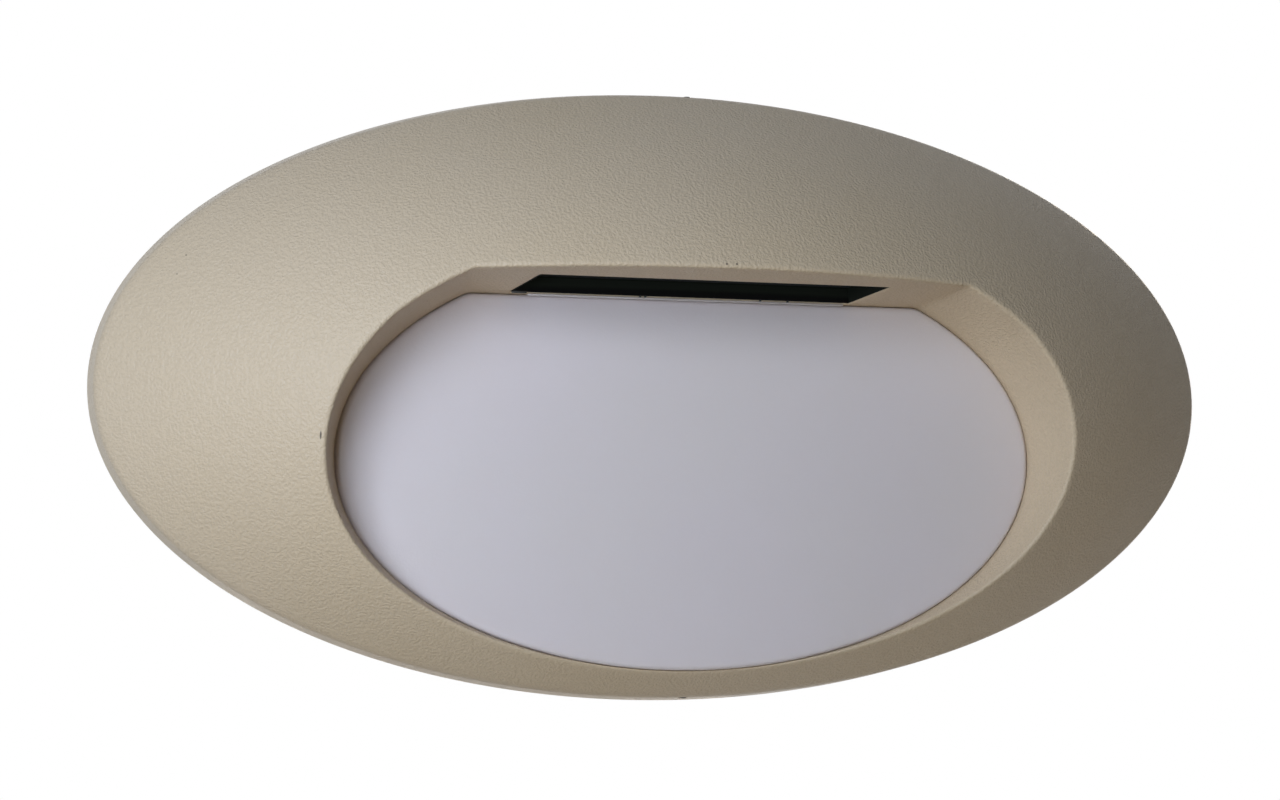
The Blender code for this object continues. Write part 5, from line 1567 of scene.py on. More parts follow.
@dataclass
class BaseCasting:
    """Cast wall plate: raised edge, gasket groove, posts, cable entry and wall-screw slots."""

    form: LampForm = field(default_factory=lambda: FORM)
    thickness: float = 0.0025
    foot: float = 0.0015
    foot_play: float = 0.0007
    groove_inset: float = 0.0095
    groove_width: float = 0.0050
    groove_depth: float = 0.0010
    seal_width: float = 0.0026
    edge_wall: float = 0.0018
    post_radius: float = 0.0035
    post_foot: float = 0.0011
    boss_radius: float = 0.0042
    boss_depth: float = 0.0036
    hole: float = 0.0015
    stud_hole: float = 0.0021
    hole_floor: float = 0.0010
    entry_radius: float = 0.0065
    entry_lip: float = 0.0016
    lip_depth: float = 0.0012
    slot_share: float = 0.814
    slot_length: float = 0.0110
    slot_width: float = 0.0056
    slot_steps: int = 16
    pad_margin: float = 0.0026
    pad_rise: float = 0.0006
    rib_half: float = 0.0008
    rib_rise: float = 0.0012
    rib_end: float = 0.62
    rib_places: tuple[float, ...] = (-0.0735, -0.0300, 0.0300, 0.0735, 0.0960)
    edge: float = 0.0003

    def __post_init__(self) -> None:
        """Take the insets and the places from the frame."""
        seal = self.form.wall + self.form.band_inset(extent("cover_seal").front)
        self.rim_inset = seal + 2 * GAP + self.seal_width
        self.rim_depth = extent("base_plate").front
        self.entry = extent("cable_grommet").plan
        self.stud = extent("earth_stud").plan
        self.slot_x = self.form.half_width * self.slot_share

    def posts(self) -> list[tuple[float, float, float, float, float]]:
        """Find where the posts stand.

        Returns:
            Plan place, head depth, radius and hole of each post.
        """
        tray, driver = extent("gear_tray").back - GAP, extent("driver_case").back - GAP
        heads = [(node, tray) for node in numbered("tray_screw", 4)]
        heads += [(node, driver) for node in numbered("driver_screw", 2)]
        made = [(*extent(node).plan, head, self.post_radius, self.hole) for node, head in heads]
        return made + [(*self.stud, self.boss_depth, self.boss_radius, self.stud_hole)]

    def slot_ring(self, x: float, depth: float, grow: float = 0.0) -> Ring:
        """Outline of a round-ended slot along X.

        Args:
            x: Its middle.
            depth: Depth of the ring.
            grow: How far it is grown outward.

        Returns:
            The ring.
        """
        radius = self.slot_width / 2 + grow
        reach = (self.slot_length - self.slot_width) / 2
        turns = [math.pi * step / self.slot_steps - math.pi / 2 for step in range(self.slot_steps + 1)]
        return [spot(x + side * (reach + radius * math.cos(turn)), side * radius * math.sin(turn), depth)
                for side in (1, -1) for turn in turns]

    def plate(self) -> Piece:
        """Make the plate with its groove and its raised edge.

        Returns:
            The plate.
        """
        groove, far_groove, edge = self.groove_inset, self.groove_inset + self.groove_width, self.edge
        play, rim, inner = self.form.wall + self.foot_play, self.rim_inset, self.rim_inset + self.edge_wall
        outline = [(far_groove, 0), (far_groove, self.groove_depth), (groove, self.groove_depth), (groove, 0),
                   (play, 0), (play, self.foot), (rim, self.foot), (rim, self.rim_depth), (inner, self.rim_depth),
                   (inner + edge, self.thickness + 2 * edge), (inner + 3 * edge, self.thickness)]
        return bevelled(lofted("base_casting", [self.form.oval(*point) for point in outline]), edge)

    def additions(self) -> Piece:
        """Make the posts with filleted feet, the pads round the slots and the low ribs.

        Returns:
            One object of them all.
        """
        shape, edge, foot, root, top = bmesh.new(), self.edge, self.post_foot, self.thickness / 2, self.thickness
        for x, z, head, radius, _ in self.posts():
            profile = [(radius + foot, root), (radius + foot, top), (radius + foot / 3, top + foot / 3),
                       (radius, top + min(foot, (head - top) / 2)), (radius, head - edge), (radius - edge, head)]
            turned(shape, square(x, z, 0), profile, 48)
        margin, rise = self.pad_margin, top + self.pad_rise
        for x in (-self.slot_x, self.slot_x):
            Skin(self.slot_ring(x, root, margin), shape).grow(
                self.slot_ring(x, rise - edge, margin), self.slot_ring(x, rise, margin - edge)).cap()
        rim = -self.form.half_height + self.rim_inset + self.edge_wall / 2
        for x in self.rib_places:
            low = rim * math.sqrt(1 - (x / self.form.half_width) ** 2)
            brick(shape, (x - self.rib_half, low, root),
                  (x + self.rib_half, low * self.rib_end, top + self.rib_rise), edge)
        return to_object("base_additions", shape)

    def openings(self) -> Piece:
        """Make the tool for the screw holes, the cable entry and the wall-screw slots.

        Returns:
            The tool.
        """
        shape = bmesh.new()
        for x, z, head, _, hole in self.posts():
            rod(shape, spot(x, z, self.hole_floor), spot(x, z, head + OVERRUN), hole)
        entry, lip, end = self.entry_radius, self.entry_radius + self.entry_lip + GAP, self.thickness + OVERRUN
        turned(shape, square(*self.entry, 0), [(lip, -OVERRUN), (lip, self.lip_depth), (entry, self.lip_depth),
                                               (entry, end)], 64)
        for x in (-self.slot_x, self.slot_x):
            Skin(self.slot_ring(x, -OVERRUN), shape).grow(self.slot_ring(x, end)).cap()
        return to_object("base_openings", shape)

    def dress(self) -> None:
        """Build the casting."""
        plate = self.plate()
        set_in(plate, self.additions(), Join.ADD)
        set_in(plate, self.openings(), Join.CUT)
        present(plate, Body.BASE, "cast_metal", "base_plate")


@dataclass
class RubberParts:
    """Wall gasket with its two ribs, cover seal with its lips, and the cable grommet."""

    base: BaseCasting = field(default_factory=BaseCasting)
    groove: float = 0.0004
    edge: float = 0.0002
    bore: float = 0.0036
    flange: float = 0.0090
    flange_height: float = 0.0018
    nose: float = 0.0056
    bead: float = 0.0004

    def band(self, name: str, node: str, outer: float, inner: float) -> None:
        """Build an oval band with a groove along its front face.

        Args:
            name: The piece's name.
            node: The node that it stands for.
            outer: Inset of its outer edge.
            inner: Inset of its inner edge.
        """
        box, step = extent(node), (inner - outer) / 4
        back, front = box.back, box.front
        dip = front - min(self.groove, box.thickness / 3)
        outline = [(outer, back), (outer, front), (outer + step, front), (outer + 1.5 * step, dip),
                   (inner - 1.5 * step, dip), (inner - step, front), (inner, front), (inner, back)]
        band = lofted(name, [self.base.form.oval(*point) for point in outline], closed=True)
        present(bevelled(band, min(self.edge, box.thickness / 6)), Body.BASE, "rubber", node)

    def grommet(self) -> list[Plan]:
        """Profile of the grommet round the cable.

        Returns:
            Its sections, from its back face round its outside to its bore.
        """
        base, box, bead, nose = self.base, extent("cable_grommet"), self.bead, self.nose
        shoulder, neck, lip = base.thickness + GAP, base.entry_radius - GAP, base.entry_radius + base.entry_lip
        collar, seat, slim = shoulder + self.flange_height, base.lip_depth - GAP, nose - bead
        return [(self.bore, box.back), (lip, box.back), (lip, seat), (neck, seat), (neck, shoulder),
                (self.flange - bead, shoulder), (self.flange, shoulder + bead), (self.flange, collar - bead),
                (self.flange - bead, collar), (nose + bead, collar), (nose, collar + bead),
                (nose, collar + 2.5 * bead), (slim, collar + 3.2 * bead), (slim, collar + 4.2 * bead),
                (nose, collar + 5 * bead), (nose, box.front - bead), (slim, box.front),
                (self.bore + bead, box.front), (self.bore, box.front - bead), (self.bore, box.front - 3 * bead),
                (self.bore + bead, box.front - 4 * bead), (self.bore, box.front - 5 * bead)]

    def dress(self) -> None:
        """Build the three rubber parts."""
        base = self.base
        seal = base.rim_inset - GAP - base.seal_width
        self.band("ribbed_wall_gasket", "wall_gasket", base.groove_inset + GAP,
                  base.groove_inset + base.groove_width - GAP)
        self.band("lipped_cover_seal", "cover_seal", seal, seal + base.seal_width)
        present(lathed("ribbed_grommet", square(*base.entry, 0), self.grommet(), 64, closed=True), Body.BASE,
                "rubber", "cable_grommet")


@dataclass
class GearTray:
    """White pan on the posts, with rounded bends and a notch for the leads."""

    base: BaseCasting = field(default_factory=BaseCasting)
    rim_inset: float = 0.0065
    flare: float = 0.0035
    sheet: float = 0.0010
    bend: float = 0.0011
    notch_width: float = 0.0090
    notch_reach: float = 0.0030
    edge: float = 0.0002
    steps: int = 5

    def bend_rings(self, out: float, depth: float, rise: float) -> list[Ring]:
        """Rounded bend between the flat floor and the flared side."""
        d_ring, bend = self.base.form.d_ring, self.bend
        return rounded(d_ring(out - bend, depth), d_ring(out, depth), d_ring(out + bend, depth + rise), self.steps)

    def dress(self) -> None:
        """Build the pan."""
        form, box, sheet, edge = self.base.form, extent("gear_tray"), self.sheet, self.edge
        back, rim = box.back, box.front
        floor, top, inner = -self.rim_inset - self.flare, -self.rim_inset, back + sheet
        rise = self.bend * (rim - back) / self.flare
        tray = lofted("reflector_tray", [
            form.d_ring(floor - 3 * self.bend, back), *self.bend_rings(floor, back, rise),
            form.d_ring(top, rim - edge), form.d_ring(top - edge, rim), form.d_ring(top - sheet + edge, rim),
            form.d_ring(top - sheet, rim - edge), *reversed(self.bend_rings(floor - sheet, inner, rise)),
            form.d_ring(floor - sheet - 3 * self.bend, inner)])
        tool = bmesh.new()
        for node in numbered("tray_screw", 4):
            rod(tool, *bore(*extent(node).plan, back, inner, self.base.hole))
        notch = extent("board_connector").plan[0]
        block(tool, (notch - self.notch_width / 2, form.flat_rise + floor - self.notch_reach, inner),
              (notch + self.notch_width / 2, form.flat_rise, rim + OVERRUN))
        set_in(tray, to_object("tray_openings", tool), Join.CUT)
        present(tray, Body.BASE, "white_sheet", "gear_tray")


@dataclass
class LightBoard:
    """LED board: its outline, tinned pads, chips with their phosphor, resistors and connector."""

    base: BaseCasting = field(default_factory=BaseCasting)
    inset: float = 0.0150
    thickness: float = 0.0016
    edge: float = 0.0002
    chip: float = 0.0014
    chip_height: float = 0.0006
    phosphor: float = 0.0010
    columns: int = 7
    column_reach: float = 0.81
    rows: tuple[float, ...] = (0.26, -0.10, -0.46)
    film: float = 0.00006
    trace: float = 0.0005
    pad_reach: float = 0.0019
    pad_half: float = 0.0008
    resistor_half: float = 0.0008
    resistor_height: float = 0.0005
    entry_half: float = 0.0012

    def chips(self) -> list[Plan]:
        """Find where the chips stand.

        Returns:
            Their plan positions, row by row.
        """
        form = self.base.form
        half = (form.recess_half_width - self.inset) * self.column_reach
        columns = [half * (2 * column / (self.columns - 1) - 1) for column in range(self.columns)]
        rows = [(form.recess_half_height - self.inset) * row - form.drop for row in self.rows]
        return [(x, z) for z in rows for x in columns]

    def dress(self) -> None:
        """Build the board and what it carries."""
        back = extent("led_board").back
        front = back + self.thickness
        board = bevelled(lofted("light_board", [self.base.form.d_ring(-self.inset, depth)
                                                for depth in (back, front)]), self.edge)
        holes = [bore(*extent(node).plan, back, front, self.base.hole) for node in numbered("tray_screw", 4)]
        set_in(board, rods("board_holes", holes), Join.CUT)
        present(board, Body.BASE, "board_white", "led_board")
        self.flat_parts(front - self.film, front)
        self.chip_parts(front - self.film, front + self.chip_height)
        self.resistors(front - self.film, front + self.resistor_height)
        self.connector()

    def flat_parts(self, root: float, front: float) -> None:
        """Lay traces and tinned pads on the board's face.

        Args:
            root: Depth that they start from.
            front: Depth of the face.
        """
        places, half, film = self.chips(), self.chip, self.film
        traces = [((a[0] + half, a[1] - self.trace, root), (b[0] - half, b[1] + self.trace, front + film))
                  for a, b in zip(places, places[1:]) if a[0] < b[0]]
        present(bricks("board_traces", film / 2, traces), Body.BASE, "board_white")
        pads = [((x + side * self.pad_reach - self.pad_half / 2, z - self.pad_half, root),
                 (x + side * self.pad_reach + self.pad_half / 2, z + self.pad_half, front + 1.5 * film))
                for x, z in places for side in (-1, 1)]
        present(bricks("board_pads", film / 2, pads), Body.BASE, "board_white", finish=TINNED)

    def chip_parts(self, root: float, top: float) -> None:
        """Set the chips on the board, each with a dish of phosphor.

        Args:
            root: Depth that they start from.
            top: Depth of their tops.
        """
        half, edge, disc = self.chip, self.edge, self.phosphor
        boxes = [((x - half, z - half, root), (x + half, z + half, top)) for x, z in self.chips()]
        housings = bricks("chip_housings", edge / 2, boxes)
        dishes, glow = bmesh.new(), bmesh.new()
        dome = [(disc * 1.1, 0), (disc, edge * 1.2), (disc * 0.6, edge * 1.7), (disc * 0.2, edge * 1.9)]
        for x, z in self.chips():
            rod(dishes, spot(x, z, top + OVERRUN), spot(x, z, top - edge), disc * 1.08, 32)
            turned(glow, square(x, z, top - 2 * edge), dome, 24)
        set_in(housings, to_object("chip_dishes", dishes), Join.CUT)
        present(housings, Body.BASE, "board_white", finish=CHIP_WHITE)
        present(to_object("chip_phosphor", glow), Body.BASE, "board_white", finish=PHOSPHOR)

    def resistors(self, root: float, top: float) -> None:
        """Set a row of resistors beside the plug.

        Args:
            root: Depth that they start from.
            top: Depth of their tops.
        """
        plug, size = extent("board_connector"), self.resistor_half
        z, middles = plug.plan[1], [plug.left - self.chip * (2 * number + 3) for number in range(3)]
        boxes = [((x - size, z - size / 2, root), (x + size, z + size / 2, top)) for x in middles]
        present(bricks("board_resistors", self.edge / 2, boxes), Body.BASE, "board_white", finish=BLACK_MOULDING)

    def connector(self) -> None:
        """Build the plug housing with its two wire entries, latch windows and groove."""
        box = extent("board_connector")
        middle, depth, half = box.plan[0], box.depth, self.entry_half
        sunk, past = box.front - self.edge * 2, box.front + OVERRUN
        housing = bricks("plug_housing", self.edge, [((box.left, box.bottom, box.back),
                                                      (box.right, box.top, box.front))])
        quarter = (box.right - box.left) / 4
        tool = bmesh.new()
        for x in (middle - quarter, middle + quarter):
            block(tool, (x - half, box.top - self.pad_reach, depth - half),
                  (x + half, box.top + OVERRUN, depth + half))
            block(tool, (x - self.pad_half, box.bottom + self.pad_half, sunk),
                  (x + self.pad_half, box.bottom + 3 * self.pad_half, past))
        block(tool, (middle - self.edge, box.bottom - OVERRUN, sunk),
              (middle + self.edge, box.top + OVERRUN, past))
        set_in(housing, to_object("plug_openings", tool), Join.CUT)
        present(housing, Body.BASE, "white_sheet", "board_connector", finish=DRIVER_WHITE)


@dataclass
class DriverBox:
    """LED driver: rounded case with ears, wire bushings and a framed lid held by snap tabs."""

    base: BaseCasting = field(default_factory=BaseCasting)
    ear: float = 0.0070
    ear_thickness: float = 0.0015
    corner: float = 0.0010
    bushing: float = 0.0014
    bushing_reach: float = 0.6 * GAP
    lead_radius: float = 0.0008
    frame_width: float = 0.0022
    frame_depth: float = 0.0003
    tab_half: float = 0.0022
    tab_depth: float = 0.0032
    tab_rise: float = 0.0004
    rib_half: float = 0.0004
    rib_count: int = 5
    rib_pitch: float = 0.0016

    def dress(self) -> None:
        """Build the case and the lid."""
        box = extent("driver_case")
        back, half, bottom = box.back, box.right - self.ear, box.bottom
        case = bricks("driver_housing", self.corner, [((-half, bottom, back), (half, box.top, box.front))], 3)
        set_in(case, self.ears(box, half), Join.ADD)
        holes = [bore(*extent(node).plan, back, back + self.ear_thickness, self.base.hole)
                 for node in numbered("driver_screw", 2)]
        set_in(case, rods("driver_holes", holes), Join.CUT)
        present(case, Body.BASE, "driver_white", "driver_case")
        self.lid(half)

    def ears(self, box: Extent, half: float) -> Piece:
        """Make the fixing ears and the bushings that the leads leave through.

        Args:
            box: What the case spans with its ears.
            half: Half width of the case without them.

        Returns:
            One object of them all.
        """
        shape, quarter, bottom = bmesh.new(), (box.top - box.bottom) / 4, box.bottom
        for side in (-1, 1):
            brick(shape, (side * (half - 2 * self.corner), bottom + quarter, box.back + GAP),
                  (side * box.right, box.top - quarter, box.back + self.ear_thickness), self.frame_depth)
        for node in ("lead_live", "lead_neutral"):
            lead = extent(node)
            z, depth = lead.top - self.lead_radius, lead.front - self.lead_radius
            rod(shape, spot(-half - GAP, z, depth), spot(-half + self.corner, z, depth), self.bushing)
        for node in ("lead_led_plus", "lead_led_minus"):
            x = extent(node).plan[0]
            rod(shape, spot(x, bottom - self.bushing_reach, box.depth), spot(x, bottom + self.corner, box.depth),
                self.bushing)
        return to_object("driver_ears", shape)

    def lid(self, half: float) -> None:
        """Build the lid with a sunk blank panel, grip ribs and snap tabs over the case's long sides.

        Args:
            half: Half width of the case.
        """
        box, sunk = extent("driver_lid"), self.frame_depth
        shape = bmesh.new()
        block(shape, (box.left, box.bottom, box.back), (box.right, box.top, box.front))
        face = min(shape.faces, key=lambda item: item.calc_center_median().y)
        bmesh.ops.inset_region(shape, faces=[face], thickness=self.frame_width)
        bmesh.ops.inset_region(shape, faces=[face], thickness=sunk, depth=-sunk)
        lid = bevelled(to_object("driver_cover", shape), sunk / 2)
        extras = bmesh.new()
        for x in (-half / 2, half / 2):
            for edge, way in ((box.bottom, -1), (box.top, 1)):
                brick(extras, (x - self.tab_half, edge - way * self.tab_rise, box.back - self.tab_depth),
                      (x + self.tab_half, edge + way * self.tab_rise, box.back + sunk * 2), self.tab_rise / 4)
        start = half - self.frame_width - self.rib_pitch * self.rib_count
        for number in range(self.rib_count):
            x = start + self.rib_pitch * number
            brick(extras, (x - self.rib_half, box.bottom + 2 * self.frame_width, box.front - 2 * sunk),
                  (x + self.rib_half, box.top - 2 * self.frame_width, box.front), sunk / 3)
        set_in(lid, to_object("driver_tabs", extras), Join.ADD)
        present(lid, Body.BASE, "driver_white", "driver_lid")


@dataclass
class LeverTerminals:
    """Three-pole terminal block with its clamping springs and the levers that open them."""

    lip: float = 0.0015
    wire_depth: float = 0.0062
    hole: float = 0.0014
    hole_reach: float = 0.0040
    funnel: float = 0.0021
    lever_eye: float = 0.0016
    lever_reach: float = 0.0090
    lever_thickness: float = 0.0020
    play: float = 0.0003
    corner: float = 0.0005
    line: float = 0.0002
    spring: float = 0.0004
    spring_share: float = 0.7
    grip_count: int = 3
    grip_pitch: float = 0.0009
    eye_steps: int = 22
    bodies: tuple[Body, ...] = (Body.LEVER_EARTH, Body.LEVER_NEUTRAL, Body.LEVER_LIVE)

    def dress(self) -> None:
        """Build the block, the springs and the levers."""
        box = extent("terminal_block")
        poles = [(node, extent(node), body) for node, body in zip(numbered("terminal_lever", 3), self.bodies)]
        bottom, top, front, depth, line = box.bottom, box.top, box.front, self.wire_depth, self.line
        floor = front - 2 * self.lever_eye - self.play
        axis = bottom + self.lip + self.play + self.lever_eye
        housing = bricks("terminal_housing", self.corner,
                         [((box.left, bottom, box.back), (box.right, top, front))], 3)
        channels, holes, funnels, springs = (bmesh.new() for _ in range(4))
        for _, pole, _ in poles:
            x, half = pole.plan[0], (pole.right - pole.left) / 2
            block(channels, (x - half - self.play, bottom + self.lip, floor),
                  (x + half + self.play, top + OVERRUN, front + OVERRUN))
            spring = half * self.spring_share
            brick(springs, (x - spring, axis + 2 * self.lever_eye, floor - line),
                  (x + spring, top - self.corner, floor + self.spring), line / 2)
            for edge, way in ((bottom, 1), (top, -1)):
                rod(holes, spot(x, edge - way * OVERRUN, depth), spot(x, edge + way * self.hole_reach, depth),
                    self.hole)
                rod(funnels, spot(x, edge - way * line, depth), spot(x, edge + way * self.hole, depth),
                    self.funnel, end_radius=self.hole * 0.98)
        third = (box.right - box.left) / 3
        for x in (box.left + third, box.right - third):
            block(funnels, (x - line, bottom - OVERRUN, front - line),
                  (x + line, bottom + self.lip * 0.8, front + OVERRUN))
        for tool in (channels, holes, funnels):
            set_in(housing, to_object("terminal_openings", tool), Join.CUT)
        present(housing, Body.BASE, "terminal_grey", "terminal_block")
        present(to_object("clamp_springs", springs), Body.BASE, "zinc")
        for number, (node, pole, body) in enumerate(poles, 1):
            present(self.lever(f"lever_{number}_moulded", pole, axis, front - self.lever_eye), body,
                    "lever_orange", node)

    def lever(self, name: str, pole: Extent, axis: float, depth: float) -> Piece:
        """Make one lever: an eye on its hinge and a tapered arm with grip grooves.

        Args:
            name: The piece's name.
            pole: What the lever spans across.
            axis: Height of its hinge.
            depth: Depth of its hinge.

        Returns:
            The lever.
        """
        eye, line, reach = self.lever_eye, self.line, self.lever_reach
        x, half, low = pole.plan[0], (pole.right - pole.left) / 2, eye - self.lever_thickness
        middle = low + self.lever_thickness / 2
        turns = [math.pi / 2 + math.pi * 1.5 * step / self.eye_steps for step in range(self.eye_steps + 1)]
        points = [(eye * math.cos(turn), eye * math.sin(turn)) for turn in turns]
        points += [(eye, low), (reach - line, middle), (reach, middle + line), (reach, eye - line),
                   (reach - line, eye)]
        lever = bevelled(lofted(name, [[spot(edge, axis + along, depth + up) for along, up in points]
                                       for edge in (x - half, x + half)]), line)
        tool = bmesh.new()
        for groove in range(self.grip_count):
            along = axis + reach - self.grip_pitch * (groove + 1)
            block(tool, (x - half - OVERRUN, along - line, depth + eye - line * 1.3),
                  (x + half + OVERRUN, along + line, depth + eye + OVERRUN))
        set_in(lever, to_object("lever_grip", tool), Join.CUT)
        return lever


@dataclass
class EarthPoint:
    """Threaded earth stud, ring tag with its crimped barrel, and the nut that clamps it."""

    base: BaseCasting = field(default_factory=BaseCasting)
    screws: Fasteners = field(default_factory=Fasteners)
    stud_radius: float = 0.0018
    bore: float = 0.0021
    tag_radius: float = 0.0040
    tail_half: float = 0.0015
    barrel_bore: float = 0.62
    barrel_radius: float = 0.85
    barrel_length: float = 1.5
    nut_flat: float = 0.0033
    chamfer: float = 0.0003

    def dress(self) -> None:
        """Build the stud, the tag and the nut."""
        x, z = self.base.stud
        stud, nut, ease = extent("earth_stud"), extent("earth_nut"), self.chamfer
        threads = self.screws.threads(-ease / 2, stud.thickness - self.screws.pitch, self.stud_radius)
        profile = [(self.stud_radius - ease, 0), *threads, (self.stud_radius, -stud.thickness)]
        present(lathed("threaded_stud", square(x, z, stud.front), profile), Body.BASE, "brass", "earth_stud")
        self.tag(x, z)
        flat, rise = self.nut_flat, nut.thickness
        profile = [(self.bore, 0), (flat - ease, 0), (flat, ease, 6), (flat, rise - ease, 6), (flat - ease, rise),
                   (self.bore + ease / 2, rise), (self.bore, rise - ease)]
        present(lathed("hexagon_nut", square(x, z, nut.back), profile, closed=True), Body.BASE, "brass",
                "earth_nut")

    def tag(self, x: float, z: float) -> None:
        """Build the ring tag with its tail, and the barrel crimped round the lead.

        Args:
            x: Middle of the ring across.
            z: Middle of the ring's height.
        """
        box, edge, radius, tail = extent("earth_tag"), self.chamfer / 2, self.tag_radius, self.tail_half
        thick = box.thickness
        profile = [(self.bore, 0), (radius - edge, 0), (radius, edge), (radius, thick - edge),
                   (radius - edge, thick), (self.bore, thick)]
        ring = lathed("ring_tag", square(x, z, box.back), profile, 48, closed=True)
        corners = ((x + radius - self.chamfer * 2, z - tail, box.back + edge / 2),
                   (box.right, z + tail, box.front - edge / 2))
        set_in(ring, bricks("tag_tail", edge / 2, [corners]), Join.ADD)
        present(ring, Body.BASE, "zinc", "earth_tag")
        place = Matrix.Translation(spot(box.right - tail, z, box.depth)) @ Matrix.Rotation(math.pi / 2, 4, "Y")
        inner, outer, length = tail * self.barrel_bore, tail * self.barrel_radius, tail * self.barrel_length
        profile = [(inner, 0), (outer, 0), (outer, length), (inner, length)]
        present(lathed("tag_barrel", place, profile, 24, closed=True), Body.BASE, "zinc")


@dataclass
class Leads:
    """Round insulated wires on smooth routes between their two ends."""

    base: BaseCasting = field(default_factory=BaseCasting)
    radius: float = 0.0008
    depth: float = 0.0062
    point_steps: int = 10
    sides: int = 16
    entry: float = 0.0014
    exit_drop: float = 0.0032
    tray_reach: float = 0.0100
    bend_share: float = 1 - math.sqrt(0.5)

    def __post_init__(self) -> None:
        """Take the terminals and the measure of the bends from the frame."""
        self.terminals = extent("terminal_block")
        self.poles = [extent(node).plan[0] for node in numbered("terminal_lever", 3)]
        self.step = (self.poles[-1] - self.poles[0]) / 8

    def smooth_route(self, points: list[Vector]) -> list[Vector]:
        """Points on a smooth curve that passes through each given point.

        Args:
            points: The given points.

        Returns:
            The curve's points.
        """
        ends = [points[0] * 2 - points[1]] + points + [points[-1] * 2 - points[-2]]
        route = []
        for before, start, end, after in zip(ends, ends[1:], ends[2:], ends[3:]):
            for step in range(self.point_steps):
                t = step / self.point_steps
                second = (before * 2 - start * 5 + end * 4 - after) * t ** 2
                third = (start * 3 - before - end * 3 + after) * t ** 3
                route.append(start + ((end - before) * t + second + third) / 2)
        return route + [points[-1]]

    def wire(self, node: str, slot: str, *places: Corner) -> None:
        """Build one wire, with its turn written down for a striped finish.

        Args:
            node: The node that it stands for.
            slot: The record's material slot.
            places: Points that it passes through, as x, z and depth.
        """
        route = self.smooth_route([spot(*place) for place in places])
        side = Vector((0.3, 0.5, 0.8))
        turns = [math.tau * step / self.sides for step in range(self.sides)]
        rings = []
        for before, point, after in zip(route[:1] + route, route, route[1:] + route[-1:]):
            along = (after - before).normalized()
            side = (side - along * side.dot(along)).normalized()
            across = along.cross(side)
            rings.append([point + (side * math.cos(turn) + across * math.sin(turn)) * self.radius
                          for turn in turns])
        shape = bmesh.new()
        layer = shape.verts.layers.float.new("around")
        skin = Skin(rings[0], shape).grow(*rings[1:]).cap()
        for ring in skin.rings:
            for vertex, turn in zip(ring, turns):
                vertex[layer] = math.cos(turn)
        present(to_object(f"{node}_insulated", shape), Body.BASE, slot, node)

    def supply_leads(self) -> None:
        """Lay the live and the neutral lead from the terminals' top to the driver's side."""
        top, depth, step, share = self.terminals.top, self.depth, self.step, self.bend_share
        start, end_depth = extent("driver_lid").left - GAP, extent("driver_case").front - self.exit_drop
        _, neutral, live = self.poles
        for node, x, bend, slot in (("lead_live", live, step, "lead_brown"),
                                    ("lead_neutral", neutral, 2 * step, "lead_blue")):
            z = top + GAP + bend
            self.wire(node, slot, (x, top - self.entry, depth), (x, z - bend, depth),
                      (x + share * bend, z - share * bend, depth), (x + bend, z, depth),
                      (x + bend + step, z, depth), ((live + start) / 2 + 2 * step, z, (depth + end_depth) / 2),
                      (start - 2 * step, z, end_depth), (start + GAP, z, end_depth))

    def earth_lead(self) -> None:
        """Lay the earth lead from the terminals' foot to the ring tag."""
        tag, depth, step, x = extent("earth_tag"), self.depth, self.step, self.poles[0]
        low, end_x, end_z = self.terminals.bottom - GAP, tag.right + GAP, self.base.stud[1]
        self.wire("lead_earth", "lead_green", (x, low + self.entry, depth), (x, low - step, depth),
                  (x - step, low - 2 * step, depth),
                  ((x + end_x) / 2, (low - 2 * step + end_z) / 2, tag.depth + self.radius),
                  (end_x + step / 2, end_z, tag.depth), (end_x - GAP, end_z, tag.depth))

    def light_leads(self) -> None:
        """Lay the two leads from the driver over the tray's rim to the board."""
        case, plug, step = extent("driver_case"), extent("board_connector"), self.step
        start, rim = extent("driver_lid").bottom - GAP, self.base.form.flat_rise + 2 * step
        quarter, depth = (plug.right - plug.left) / 4, case.depth
        rim_depth = (extent("gear_tray").back + GearTray.sheet + extent("diffuser_retainer").back) / 2
        for node, side, slot in (("lead_led_plus", 1, "lead_red"), ("lead_led_minus", -1, "lead_black")):
            x = plug.plan[0] + side * quarter
            self.wire(node, slot, (x, start + GAP, depth), (x, start - step, depth),
                      (x, (start - step + rim) / 2, (depth + rim_depth) / 2), (x, rim, rim_depth),
                      (x, self.base.form.flat_rise - self.tray_reach, rim_depth),
                      (x, plug.top + GAP + step / 2, plug.depth), (x, plug.top - self.entry, plug.depth))

    def dress(self) -> None:
        """Lay the five wires."""
        self.supply_leads()
        self.earth_lead()
        self.light_leads()


# Studio


@dataclass(frozen=True)
class Lamp:
    """A soft area light that faces the object: its direction, distance, size, power and colour."""

    name: str
    azimuth: float
    elevation: float
    distance: float
    size: Plan
    power: float
    colour: Colour

    def add(self) -> None:
        """Add the light to the scene."""
        turn, lift = math.radians(self.azimuth), math.radians(self.elevation)
        way = Vector((math.sin(turn) * math.cos(lift), -math.cos(turn) * math.cos(lift), math.sin(lift)))
        data = bpy.data.lights.new(self.name, "AREA")
        data.shape = "RECTANGLE"
        data.size, data.size_y = self.size
        data.energy = self.power
        data.color = self.colour
        light = bpy.data.objects.new(self.name, data)
        light.location = way * self.distance
        light.rotation_euler = (-way).to_track_quat("-Z", "Y").to_euler()
        bpy.context.scene.collection.objects.link(light)


